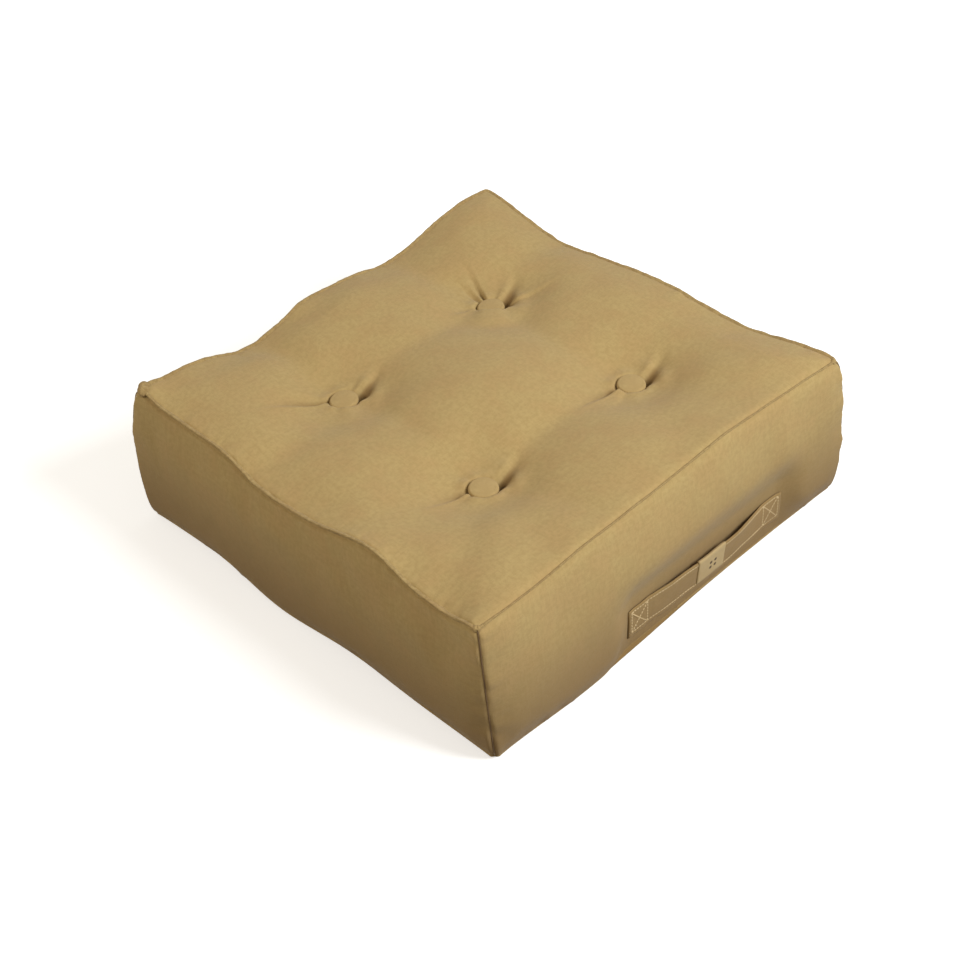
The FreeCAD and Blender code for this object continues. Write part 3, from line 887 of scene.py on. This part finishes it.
def edgeLoop(top):
    # points round the top or bottom seam with the way each one leans out, side by side
    flat = panelShapes["top" if top else "bottom"]
    end = -1 if top else 0
    step = 3
    inners = {"front": flat[:, step], "right": flat[-1 - step], "back": flat[::-1, -1 - step],
              "left": flat[step, ::-1]}
    pieces = {}
    for side in sideOrder:
        grid = panelShapes[side]
        if side in ("back", "left"):
            grid = grid[::-1]
        edge, below = grid[:, end], grid[:, end - step if top else step]
        lean = (edge - inners[side]) / np.linalg.norm(edge - inners[side], axis=1, keepdims=True)
        rise = (edge - below) / np.linalg.norm(edge - below, axis=1, keepdims=True)
        pieces[side] = (edge[:-1], (lean + rise)[:-1])
    return pieces


def makeRidge(top):
    s = ridgeSettings
    sides = edgeLoop(top)
    path = np.concatenate([edge for edge, lean in sides.values()])
    lean = np.concatenate([lean for edge, lean in sides.values()])
    lean = smoothRound(lean / np.linalg.norm(lean, axis=1, keepdims=True), s["smoothLean"])
    counts = [len(edge) for edge, lean in sides.values()]
    height, width = (smoothRound(np.repeat([s[key][side] for side in sides], counts), s["smoothSize"])
                     for key in ("height", "width"))
    length = walkAlong(path)
    if top:
        height = height * (1 + sum(share * softNoise(length, gap, seed) for share, gap, seed in s["uneven"]))
        for name, signs in corners.items():
            reach = np.hypot(path[:, 0] - signs[0] * halfX, path[:, 1] - signs[1] * halfY) * 1000
            tall, wide = s["ear"][name]
            height = height + tall * hump(reach, s["earReach"])
            width = width + wide * hump(reach, s["earReach"])
    else:
        height = height * s["bottomHeight"][0] + s["bottomHeight"][1]
        width = width * s["bottomWidth"]
        lean[:, 2] = np.maximum(lean[:, 2], s["lowestLean"])
    share, gap, seed = s["unevenWidth"]
    width = width * (1 + share * softNoise(length, gap, seed))
    level = "top" if top else "bottom"
    piece = sweepBand(level + "_seam_ridge", path, lean, s["section"], height / 1000, width / 1000, True, 0.1)
    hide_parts(level + "_seam_thread")
    return piece


def cornerEdge(name):
    # the upright seam at a corner, from the ground up
    signs = corners[name]
    grid = panelShapes["front" if signs[1] < 0 else "back"]
    return grid[0 if signs[0] < 0 else -1]


def makeCornerSeam(name):
    # the upright seam: a thin line of pinched cloth deep in its valley, coloured dark as painted shade for
    # the valley
    signs = corners[name]
    edge = cornerEdge(name)
    tall, wide, share, gap = ridgeSettings["upright"]
    uneven = share * softNoise(walkAlong(edge), gap, 31 + signs[0] + 3 * signs[1])
    lean = np.tile([signs[0], signs[1], 0.0], (len(edge), 1))
    height, width = tall * (1 + uneven), np.full(len(edge), wide)
    return sweepBand("corner_seam_" + name, edge, lean, ridgeSettings["section"], height, width, False, 0.3)


def makeEar(name):
    # a small rolled tab where two ridges meet at a corner
    signs = corners[name]
    outSize, sideSize, upSize = ridgeSettings["earSizes"][name]
    out = np.array([signs[0], signs[1], 0]) / math.sqrt(2)
    side = np.array([-out[1], out[0], 0])
    seatIn, seatDown = ridgeSettings["earSeat"]
    deep, wide = ridgeSettings["earCrease"]
    middle = cornerEdge(name)[-1] - out * seatIn - np.array([0, 0, seatDown])
    around, rows = 36, 23
    points = []
    for tilt in np.linspace(0, math.pi, rows):
        for turn in circle(around):
            a, b, c = math.sin(tilt) * math.cos(turn), math.sin(tilt) * math.sin(turn), math.cos(tilt)
            crease = 1 - deep * hump(b, wide) * (c > -0.2)
            up = np.array([0, 0, c * crease * upSize])
            points.append(middle + out * a * crease * outSize + side * b * sideSize + up)
    piece = newPiece("corner_ear_" + name, points, ringQuads(numbered(rows, around)))
    layCloth(piece, np.array(points) + 0.4)
    return piece


topRidge = makeRidge(True)
bottomRidge = makeRidge(False)
cornerSeams = [makeCornerSeam(name) for name in corners]
ears = [makeEar(name) for name in ridgeSettings["earSizes"]]
for seamPiece in [topRidge, bottomRidge] + cornerSeams + ears:
    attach(seamPiece, cushion)
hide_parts("corner_seam_threads")
print("seams done")


# Covered buttons: cloth drawn over a domed shell and gathered in under its rim.
buttonSettings = {
    "profile": [(0, 8.0), (3, 7.98), (6, 7.9), (9, 7.72), (11, 7.5), (12.2, 7.45), (13.1, 7.35), (13.9, 6.9),
                (14.5, 6.1), (14.85, 4.9), (14.9, 3.2), (14.6, 1.4), (14.1, 0.3), (13.2, -0.2), (11.5, -0.5),
                (8, -0.5), (0, -0.5)],
    "around": 72,
    "gathers": 26,
    "gatherDepth": 0.22,
    "outOfRound": 0.12,
    "gathered": (0.5, 4.6),       # mm up from the seat where the gathers die away
    "rim": (0.003, 0.0062),       # the painted shadow round the seat, in metres
    "rimShade": 5.0,
    "tilt": {"left_front": (-3, 2), "right_front": (-2, 3), "right_back": (4, -3), "left_back": (3, -4)},
}


def makeButton(name, top):
    s = buttonSettings
    level = "top" if top else "bottom"
    node = level + "_button_" + name + "_cover"
    low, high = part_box(node)
    count = s["around"]
    turns = circle(count)
    rings = []
    for radius, height in s["profile"]:
        gather = np.cos(turns * s["gathers"] + 1.3 * np.sin(3 * turns))
        under = 1 - smoothStep(height, *s["gathered"])
        uneven = s["gatherDepth"] * under * gather + s["outOfRound"] * np.sin(2 * turns + 1)
        r = radius + uneven * (radius > 10)
        rings.append(np.stack([r * np.cos(turns), r * np.sin(turns), np.full(count, height)], 1) / 1000)
    points = np.stack(rings[1:-1]).reshape(-1, 3)
    numbers = numbered(len(rings) - 2, count)
    apex, base = len(points), len(points) + 1
    points = np.concatenate([points, rings[0][:1] * (0, 0, 1), rings[-1][:1] * (0, 0, 1)])
    faces = ringQuads(numbers)
    faces += [[int(a), int(b), apex] for a, b in zip(numbers[0], np.roll(numbers[0], -1))]
    faces += [[int(b), int(a), base] for a, b in zip(numbers[-1], np.roll(numbers[-1], -1))]
    if top:
        tiltX, tiltY = (math.radians(angle) / 2 for angle in s["tilt"][name])
        points[:, 2] += points[:, 0] * tiltX + points[:, 1] * tiltY
    rim = points[:, 2]
    if not top:
        points = points * np.array([1, -1, -1])
    centre = (low + high) / 2
    place = np.array([centre.x, centre.y, topSeat if top else lowSeat])
    piece = newPiece(level + "_button_cloth_" + name, points + place, faces)
    layCloth(piece, points + 0.9)
    # painted shadow in the gap where the button sits down in the cover
    markPaintedShade(piece, s["rimShade"] * (1 - smoothStep(rim, *s["rim"])))
    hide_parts(node)
    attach(piece, cushion)
    return piece


buttons = [makeButton(name, top) for name in corners for top in (True, False)]
print("buttons done")


# The carrying strap lies on the front side, with both ends sewn down and its middle free.
strapSettings = {
    "lift": 0.0052,           # how far the free middle bows away from the side
    "rollOut": 0.0016,        # how much further its upper edge stands off
    "curl": (0.78, 0.12, 0.0016),  # its upper edge curls out here: place, reach and amount
    "quilt": (0.00045, 0.05),  # how deep the stitch lines sink, and how wide in half widths
    "clear": 0.0009,
    "follows": {"left": 0.020, "right": 0.070},  # the places past which the strap is meant to follow the hand all the way
    "upperStitch": 0.0035,    # stitch lines in from the upper and lower edges
    "lowerStitch": 0.0058,
    "stitch": (0.0034, 0.0003, 0.00085),      # length, gap and radius
}
leftLow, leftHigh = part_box("strap_left_end")
rightLow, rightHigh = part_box("strap_right_end")
labelLow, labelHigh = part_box("label")
strapMid = (leftLow.z + leftHigh.z) / 2
strapThick = leftHigh.y - leftLow.y
halfWidth = (leftHigh.z - leftLow.z) / 2
stitchLow = strapMid - halfWidth + strapSettings["lowerStitch"]
stitchHigh = strapMid + halfWidth - strapSettings["upperStitch"]
halfway = (labelLow.x + labelHigh.x) / 2
frontPoints = panelShapes["front"][:, :-6].reshape(-1, 3)


def frontFace(x, z):
    # how far out the front side stands at these places
    x, z = np.broadcast_arrays(x, z)
    found = np.zeros(x.size)
    for index, (a, b) in enumerate(zip(x.ravel(), z.ravel())):
        far = (frontPoints[:, 0] - a) ** 2 + (frontPoints[:, 2] - b) ** 2
        nearest = np.argpartition(far, 6)[:6]
        weight = 1 / (far[nearest] + 1e-7)
        found[index] = (frontPoints[nearest, 1] * weight).sum() / weight.sum()
    return found.reshape(x.shape)


def strapInner(x, z):
    # the strap's inner face, on the cover at the ends and bowed off it between them
    f = np.clip((x - leftHigh.x) / (rightLow.x - leftHigh.x), 0, 1)
    free = smoothStep(np.minimum(f, 1 - f), 0, 0.16)
    arch = np.sin(math.pi * f)
    bow = strapSettings["lift"] * arch**0.8
    bow = bow + strapSettings["rollOut"] * arch * (z - strapMid) / halfWidth
    place, wide, amount = strapSettings["curl"]
    bow = bow + amount * hump(f - place, wide) * smoothStep(z, strapMid, strapMid + halfWidth)
    resting = frontFace(x, z)
    straight = frontFace(x, np.full_like(z, strapMid))
    base = resting * (1 - 0.7 * free) + straight * 0.7 * free
    return np.minimum(base - bow, resting - strapSettings["clear"] * free) - 0.0002


def strapRow():
    # a closed loop round the strap: places across it and out from its inner face
    loop = []
    for across in np.linspace(-1, 1, 21):
        edge = 1 - smoothStep(1 - abs(across), 0, 0.07)
        deep, wide = strapSettings["quilt"]
        quilt = sum(deep * hump(across - (line - strapMid) / halfWidth, wide)
                    for line in (stitchLow, stitchHigh))
        loop.append((across * halfWidth * (1 - 0.004 * edge), strapThick * (1 - 0.30 * edge) - quilt))
    for across in np.linspace(1, -1, 9):
        loop.append((across * halfWidth * 0.99, strapThick * 0.28 * (abs(across) > 0.97)))
    return np.array(loop)


def edgeWander(x):
    # the strap's edges aren't dead straight
    return 0.0006 * np.sin(x * 61 + 1) + 0.0004 * np.sin(x * 143)


def makeStrapHalf(name, startX, endX):
    xs = np.linspace(startX, endX, int((endX - startX) / 0.0022))
    across, out = strapRow().T
    x = np.repeat(xs[:, None], len(across), 1)
    z = strapMid + across[None, :] + edgeWander(x)
    crease = 0.00035 * softField(x, z, 0.012, 61) * (out > strapThick * 0.5)
    nearEnd = np.minimum(np.abs(xs - leftLow.x), np.abs(xs - rightHigh.x))
    tuck = 0.62 + 0.38 * smoothStep(nearEnd, 0, 0.0022)
    y = strapInner(x, z) - out[None, :] * tuck[:, None] - crease
    piece = newPiece(name, np.stack([x, y, z], 2).reshape(-1, 3), cappedRings(numbered(*x.shape)))
    layCloth(piece, np.stack([x, z, np.zeros_like(x)], 2) + 1.7)
    return piece


def stitchLine(start, end):
    # short raised stitches from one (x, z) to another, lying on the strap's face
    length, gap, radius = strapSettings["stitch"]
    start, end = np.array(start), np.array(end)
    total = np.linalg.norm(end - start)
    count = max(1, round(total / (length + gap)))
    direction = (end - start) / total
    normal = np.array([-direction[1], direction[0]])
    rings = ((-0.5, 0.25), (-0.38, 0.8), (0, 1.0), (0.38, 0.8), (0.5, 0.25))
    points, faces = [], []
    for index in range(count):
        middle = start + direction * total * (index + 0.5) / count
        faces += cappedRings(len(points) + numbered(len(rings), 6))
        for along, size in rings:
            for turn in circle(6):
                place = middle + direction * along * length + normal * math.cos(turn) * radius * size
                sink = 0.0001 + 0.0003 * (1 - size)
                points.append((place[0], -math.sin(turn) * radius * size + sink, place[1]))
    return points, faces


def makeStitches(name, lines):
    points, faces = [], []
    for start, end in lines:
        more, moreFaces = stitchLine(start, end)
        faces += [[index + len(points) for index in face] for face in moreFaces]
        points += more
    points = np.array(points)
    x, z = points[:, 0], points[:, 2] + edgeWander(points[:, 0])
    face = strapInner(x, z) - strapThick
    deep, wide = strapSettings["quilt"]
    dip = sum(deep * hump(points[:, 2] - line, wide * halfWidth) for line in (stitchLow, stitchHigh))
    return newPiece(name, np.stack([x, face + points[:, 1] + dip, z], 1), faces)


def boxLines(nearX, farX):
    # a box with a cross in it
    return [((nearX, stitchLow), (nearX, stitchHigh)), ((farX, stitchLow), (farX, stitchHigh)),
            ((nearX, stitchLow), (farX, stitchHigh)), ((nearX, stitchHigh), (farX, stitchLow))]


strapEnds = {
    # where each half starts and ends, and the box of stitches at its sewn end
    "left": (leftLow.x, halfway, leftLow.x + 0.004, leftHigh.x - 0.003),
    "right": (halfway, rightHigh.x, rightHigh.x - 0.004, rightLow.x + 0.003),
}
strapParts = {}
for side, (startX, endX, outerX, seamX) in strapEnds.items():
    half = makeStrapHalf("strap_" + side + "_half", startX, endX)
    first, last = min(outerX, halfway), max(outerX, halfway)
    runs = [((first, line), (last, line)) for line in (stitchHigh, stitchLow)]
    thread = makeStitches("strap_" + side + "_stitches", runs + boxLines(outerX, seamX))
    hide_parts("strap_" + side + "_end")
    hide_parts("strap_" + side + "_stitching")
    strapParts[side] = (half, thread)
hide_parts("strap_middle")
for side, startX in (("left", leftHigh.x), ("right", rightLow.x)):
    for piece in strapParts[side]:
        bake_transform(piece)
print("strap done")


# The label is a woven tape folded over the strap's upper edge, with a plain mark of four dots.
labelSettings = {
    "thick": 0.0009,
    "lowEdge": 0.0062,        # how far above the strap's lower edge it stops in front
    "dot": 0.0019,
    "dotSpacing": 0.0034,
    "markRight": 0.002,
    "markUp": 0.003,
}


def makeLabel():
    s = labelSettings
    xs = np.linspace(labelLow.x + 0.001, labelHigh.x - 0.001, 22)
    low = strapMid - halfWidth + s["lowEdge"]
    high = strapMid + halfWidth
    front = [(z, 1.0) for z in np.linspace(low, high - 0.0006, 14)]
    over = [(high + 0.0007, 0.8), (high + 0.0012, 0.5), (high + 0.0009, 0.1)]
    back = [(z, -0.02) for z in np.linspace(high - 0.001, low + 0.004, 6)]
    outline = np.array(front + over + back)
    x = np.repeat(xs[:, None], len(outline), 1)
    z = outline[None, :, 0] + edgeWander(x)
    inner = strapInner(x, np.clip(z, strapMid - halfWidth, high))
    depth = outline[None, :, 1] * (strapThick + 0.0001)
    outside = inner - depth
    push = np.where(outline[:, 1] > 0.9, s["thick"], np.where(outline[:, 1] < 0, -0.0003, s["thick"] * 0.9))
    sideLow = 1 - 0.35 * (1 - smoothStep(np.minimum(x - xs[0], xs[-1] - x), 0, 0.0012))
    outer = np.stack([x, outside - push[None, :] * sideLow, z + 0.0004 * (outline[None, :, 1] < 0.9)], 2)
    within = np.stack([x, outside + 0.0004, z - 0.0002], 2)
    first = numbered(*x.shape)
    second = first + x.size
    faces = quadsOf(first, False).tolist() + quadsOf(second, True).tolist()
    for a, b in ((first[:, 0], second[:, 0]), (second[:, -1], first[:, -1]), (second[0], first[0]),
                 (first[-1], second[-1])):
        faces += np.stack([a[:-1], b[:-1], b[1:], a[1:]], 1).tolist()
    piece = newPiece("label_tape", np.concatenate([outer.reshape(-1, 3), within.reshape(-1, 3)]), faces)
    flat = np.stack([x, z, np.zeros_like(x)], 2).reshape(-1, 3)
    layCloth(piece, np.concatenate([flat, flat]))
    return piece


def makeMark():
    # four small woven dots
    s = labelSettings
    size, around = s["dot"], 16
    points, faces = [], []
    for a, b in ((-1, -1), (-1, 1), (1, -1), (1, 1)):
        spotX = halfway + s["markRight"] + a * s["dotSpacing"]
        spotZ = strapMid + s["markUp"] + b * s["dotSpacing"]
        base = len(points)
        rings = base + 1 + numbered(2, around)
        points.append((spotX, 0.00022, spotZ))
        for ring, lift in ((0.75, 0.00018), (1.0, 0.0)):
            for turn in circle(around):
                x, z = size * ring * math.cos(turn), size * ring * math.sin(turn)
                points.append((spotX + x, lift, spotZ + z))
        faces += [[base, int(p), int(q)] for p, q in zip(rings[0], np.roll(rings[0], -1))]
        faces += ringQuads(rings) + [rings[-1][::-1].tolist()]
    points = np.array(points)
    face = strapInner(points[:, 0], points[:, 2]) - strapThick - s["thick"] - 0.0001
    return newPiece("label_mark", np.stack([points[:, 0], face - points[:, 1], points[:, 2]], 1), faces)


label = makeLabel()
mark = makeMark()
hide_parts("label")
for piece in (label, mark):
    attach(piece, handle)
print("label done")


class Wire:
    # a shader socket that can stand in a sum
    def __init__(self, finish, socket):
        self.finish = finish
        self.socket = socket

    def maths(self, operation, first, second):
        return self.finish.read("ShaderNodeMath", {"operation": operation}, {0: first, 1: second})

    def __add__(self, other):
        return self.maths("ADD", self, other)

    def __radd__(self, other):
        return self.maths("ADD", other, self)

    def __sub__(self, other):
        return self.maths("SUBTRACT", self, other)

    def __rsub__(self, other):
        return self.maths("SUBTRACT", other, self)

    def __mul__(self, other):
        return self.maths("MULTIPLY", self, other)

    def __rmul__(self, other):
        return self.maths("MULTIPLY", other, self)

    def __abs__(self):
        return self.maths("ABSOLUTE", self, 0.0)


class Finish:
    # one material while its nodes are put together
    def __init__(self, name):
        self.material = bpy.data.materials.new(name)
        self.material.use_nodes = True
        self.tree = self.material.node_tree
        self.tree.nodes.clear()

    def node(self, kind, settings, sockets):
        made = self.tree.nodes.new(kind)
        for key, value in settings.items():
            setattr(made, key, value)
        for key, value in sockets.items():
            if isinstance(value, Wire):
                self.tree.links.new(value.socket, made.inputs[key])
            else:
                made.inputs[key].default_value = value
        return made

    def read(self, kind, settings, sockets, output=0):
        return Wire(self, self.node(kind, settings, sockets).outputs[output])

    def parts(self, vector):
        split = self.node("ShaderNodeSeparateXYZ", {}, {"Vector": vector})
        return [Wire(self, socket) for socket in split.outputs]

    def objectPlace(self):
        return self.read("ShaderNodeTexCoord", {}, {}, 3)

    def bumps(self, strength, distance, height):
        sockets = {"Strength": strength, "Distance": distance, "Height": height}
        return self.read("ShaderNodeBump", {}, sockets)

    def sine(self, value):
        return self.read("ShaderNodeMath", {"operation": "SINE"}, {0: value})

    def noise(self, vector, scale, detail=2.0, roughness=0.5):
        sockets = {"Vector": vector, "Scale": scale, "Detail": detail, "Roughness": roughness}
        return self.read("ShaderNodeTexNoise", {}, sockets)

    def stretch(self, vector, scale):
        return self.read("ShaderNodeVectorMath", {"operation": "MULTIPLY"}, {0: vector, 1: scale})

    def blendColours(self, amount, first, second):
        return self.read("ShaderNodeMix", {"data_type": "RGBA"}, {0: amount, 6: first, 7: second}, 2)

    def softStep(self, value, low, high, toLow=0.0, toHigh=1.0):
        settings = {"interpolation_type": "SMOOTHSTEP"}
        return self.read("ShaderNodeMapRange", settings, {0: value, 1: low, 2: high, 3: toLow, 4: toHigh})

    def close(self, colour, roughness, normal, fixed):
        shader = self.node("ShaderNodeBsdfPrincipled", {}, {"Base Color": colour, "Roughness": roughness})
        if normal is not None:
            self.tree.links.new(normal.socket, shader.inputs["Normal"])
        for key, value in fixed.items():
            shader.inputs[key].default_value = value
        self.node("ShaderNodeOutputMaterial", {}, {"Surface": Wire(self, shader.outputs[0])})
        return self.material


linenSettings = {
    "pitch": 0.00105,             # from thread to thread
    "sheen": 0.12,
    "deep": (0.235, 0.148, 0.056, 1),   # painted shade: in the creases, under the seam ridges and round the button rims, and low down on the sides
    # painted shade, darker and browner towards the floor, where the sides turn under
    "paintedLowShade": 0.18,
    "paintedLowShadeHeights": (0.02, 0.19),
    "warp": 900.0,                # fineness of the slubs across and along their threads
    "slub": 70.0,
    "cloud": 26.0,
    "fleck": 210.0,
}
linens = {
    "khakiLinen": {
        "base": (0.500, 0.367, 0.158, 1), "warm": (0.490, 0.338, 0.146, 1), "dark": (0.385, 0.268, 0.104, 1),
        "bump": 0.6, "mottle": 0.55, "deep": (0.190, 0.107, 0.036, 1), "paintedLowShade": 0.80,
    },
    "buttonLinen": {
        "base": (0.500, 0.367, 0.160, 1), "warm": (0.47, 0.330, 0.142, 1), "dark": (0.37, 0.256, 0.10, 1),
        "bump": 0.5, "mottle": 0.4, "deep": (0.225, 0.138, 0.050, 1), "paintedLowShade": 0.42,
    },
    "strapLinen": {
        "base": (0.470, 0.335, 0.148, 1), "warm": (0.455, 0.31, 0.135, 1), "dark": (0.36, 0.245, 0.098, 1),
        "bump": 0.7, "mottle": 0.5, "sheen": 0.1, "deep": (0.190, 0.107, 0.036, 1), "paintedLowShade": 0.66,
    },
    "ridgeLinen": {
        "base": (0.490, 0.358, 0.155, 1), "warm": (0.45, 0.308, 0.130, 1), "dark": (0.31, 0.208, 0.082, 1),
        "bump": 0.8, "mottle": 0.8, "sheen": 0.1,
    },
    "labelTape": {
        "base": (0.56, 0.43, 0.225, 1), "warm": (0.53, 0.39, 0.19, 1), "dark": (0.45, 0.32, 0.15, 1),
        "pitch": 0.0007, "bump": 0.45, "mottle": 0.3, "sheen": 0.1,
    },
}


def linen(name):
    # plain woven linen: crossing threads, uneven slubs along both ways, a soft mottle, and painted shade in
    # the creases and low down
    s = {**linenSettings, **linens[name]}
    finish = Finish(name)
    place = finish.read("ShaderNodeAttribute", {"attribute_name": "clothPlace"}, {}, 1)
    wobble = finish.read("ShaderNodeTexNoise", {}, {"Vector": place, "Scale": 160.0, "Detail": 1.0}, 1)
    drift = finish.read("ShaderNodeVectorMath", {"operation": "MULTIPLY_ADD"},
                        {0: wobble, 1: (0.0012, 0.0012, 0), 2: place})
    across, along = (finish.sine(way * (math.pi / s["pitch"])) for way in finish.parts(drift)[:2])
    over = finish.softStep(across * along, -0.25, 0.25)
    weave = abs(across) * over + abs(along) * (1 - over)
    warpSlub = finish.noise(finish.stretch(place, (s["warp"], s["slub"], 1.0)), 1.0, 2.0)
    weftSlub = finish.noise(finish.stretch(place, (s["slub"], s["warp"], 1.0)), 1.0, 2.0)
    slub = warpSlub * over + weftSlub * (1 - over)
    cloud = finish.noise(place, s["cloud"], 3.0, 0.6)
    fleck = finish.noise(place, s["fleck"], 4.0, 0.7)
    warmth = finish.softStep(cloud, 0.38, 0.66)
    tint = finish.blendColours(warmth, s["base"], s["warm"])
    grime = finish.softStep(fleck * 0.6 + slub * 0.4, 0.4, 0.6, s["mottle"], 0.0)
    tint = finish.blendColours(grime, tint, s["dark"])
    # painted shade in the creases, under the seam ridges and round the button rims
    paintedShade = finish.read("ShaderNodeAttribute", {"attribute_name": "paintedShade"}, {}, 2)
    tint = finish.blendColours(finish.softStep(paintedShade, 0.8, 5.0, 0.0, 0.8), tint, s["deep"])
    # painted shade, darker towards the floor where the sides turn under away from the light
    stand = finish.parts(finish.objectPlace())[2] + cloud * 0.05
    tint = finish.blendColours(finish.softStep(stand, *s["paintedLowShadeHeights"], s["paintedLowShade"], 0.0), tint, s["deep"])
    tint = finish.blendColours((1 - weave) * 0.22, tint, s["dark"])
    normal = finish.bumps(s["bump"], 0.0004, weave * 0.6 + slub * 0.8 + fleck * 0.5)
    roughness = finish.softStep(fleck, 0.3, 0.7, 0.86, 0.96)
    fixed = {"Sheen Weight": s["sheen"], "Sheen Roughness": 0.55, "Specular IOR Level": 0.15}
    return finish.close(tint, roughness, normal, fixed)


def threadFinish(name, light, dark, scale):
    # twisted thread: fine slanting strands along each stitch
    finish = Finish(name)
    x, y, z = finish.parts(finish.objectPlace())
    strand = finish.sine((x + z + y) * scale) * 0.5 + 0.5
    tint = finish.blendColours(strand * 0.5, light, dark)
    return finish.close(tint, 0.7, finish.bumps(0.4, 0.0001, strand), {"Specular IOR Level": 0.3})


def metalFinish(name, tint, dark):
    # pressed sheet metal with a faint drawn grain
    finish = Finish(name)
    place = finish.objectPlace()
    grain = finish.noise(finish.stretch(place, (120.0, 120.0, 1500.0)), 1.0, 3.0)
    spots = finish.noise(place, 400.0, 2.0)
    colour = finish.blendColours(finish.softStep(spots, 0.4, 0.7, 0.0, 0.6), tint, dark)
    roughness = finish.softStep(grain, 0.3, 0.7, 0.28, 0.42)
    return finish.close(colour, roughness, finish.bumps(0.2, 0.0001, grain), {"Metallic": 1.0})


def paint(piece, material):
    piece.data.materials.clear()
    piece.data.materials.append(material)


threads = {
    # the light and dark strands, and how fine the twist is
    "seamShadeThread": ((0.16, 0.10, 0.045, 1), (0.10, 0.06, 0.025, 1), 6000.0),
    "paleThread": ((0.62, 0.475, 0.27, 1), (0.5, 0.37, 0.19, 1), 9000.0),
    "markThread": ((0.075, 0.045, 0.022, 1), (0.045, 0.026, 0.012, 1), 9000.0),
    "tuftTwine": ((0.62, 0.55, 0.42, 1), (0.42, 0.36, 0.26, 1), 4000.0),
}
metals = {
    "shellMetal": ((0.72, 0.72, 0.7, 1), (0.52, 0.52, 0.5, 1)),
    "backMetal": ((0.66, 0.62, 0.5, 1), (0.46, 0.42, 0.32, 1)),
}
finishes = {name: linen(name) for name in linens}
finishes.update({name: threadFinish(name, *values) for name, values in threads.items()})
finishes.update({name: metalFinish(name, *values) for name, values in metals.items()})
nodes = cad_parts.items()
painted = {
    "khakiLinen": [cover],
    "ridgeLinen": [topRidge, bottomRidge] + ears,
    "seamShadeThread": cornerSeams,
    "buttonLinen": buttons,
    "strapLinen": [half for half, thread in strapParts.values()],
    "paleThread": [thread for half, thread in strapParts.values()],
    "labelTape": [label],
    "markThread": [mark],
    "tuftTwine": [node for name, node in nodes if name.startswith("tuft_twine")],
    "shellMetal": [node for name, node in nodes if name.endswith("_shell")],
    "backMetal": [node for name, node in nodes if "button" in name and name.endswith("_back")],
}
for name, pieces in painted.items():
    for piece in pieces:
        paint(piece, finishes[name])
print("finishes done")


stageSettings = {
    "floor": (0.90, 0.92, 0.94, 1),
    "floorShade": (0.87, 0.885, 0.90, 1),
    "floorReach": 40,
    "floorGlow": 0.50,
    "room": (1.0, 0.88, 0.70, 1),
    "roomStrength": 0.315,
    "key": {"place": (0.9, -2.3, 2.1), "size": 1.3, "power": 88, "colour": (0.965, 0.985, 1)},
    "side": {"place": (-2.3, 1.2, 2.2), "size": 1.4, "power": 31, "colour": (1, 0.93, 0.82)},
    "fill": {"place": (2.6, 0.6, 1.4), "size": 2.0, "power": 4, "colour": (1, 0.98, 0.95)},
}


def makeFloor():
    far = stageSettings["floorReach"]
    points = [(-far, -far, 0), (far, -far, 0), (far, far, 0), (-far, far, 0)]
    floor = newPiece("floor", points, [[0, 1, 2, 3]], False)
    finish = Finish("paleFloor")
    faint = finish.noise(finish.objectPlace(), 3.0, 2.0)
    shade = finish.blendColours(faint, stageSettings["floor"], stageSettings["floorShade"])
    glow = {"Specular IOR Level": 0.1, "Emission Strength": stageSettings["floorGlow"],
            "Emission Color": (1, 1, 1, 1)}
    paint(floor, finish.close(shade, 0.85, None, glow))
    floor.visible_diffuse = False   # keeps the floor's own light off the cloth


def makeLight(name, s):
    data = bpy.data.lights.new(name, "AREA")
    data.shape = "DISK"
    data.size = s["size"]
    data.energy = s["power"]
    data.color = s["colour"]
    lamp = bpy.data.objects.new(name, data)
    bpy.context.scene.collection.objects.link(lamp)
    lamp.location = s["place"]
    aim = Vector((0, 0, 0.08)) - Vector(s["place"])
    lamp.rotation_euler = aim.to_track_quat("-Z", "Y").to_euler()


def makeRoom():
    world = bpy.data.worlds.new("room")
    world.use_nodes = True
    background = world.node_tree.nodes["Background"]
    background.inputs["Color"].default_value = stageSettings["room"]
    background.inputs["Strength"].default_value = stageSettings["roomStrength"]
    bpy.context.scene.world = world
    bpy.context.scene.view_settings.view_transform = "Standard"


makeFloor()
for lamp in ("key", "fill", "side"):
    makeLight(lamp + "Light", stageSettings[lamp])
makeRoom()
print("stage done")
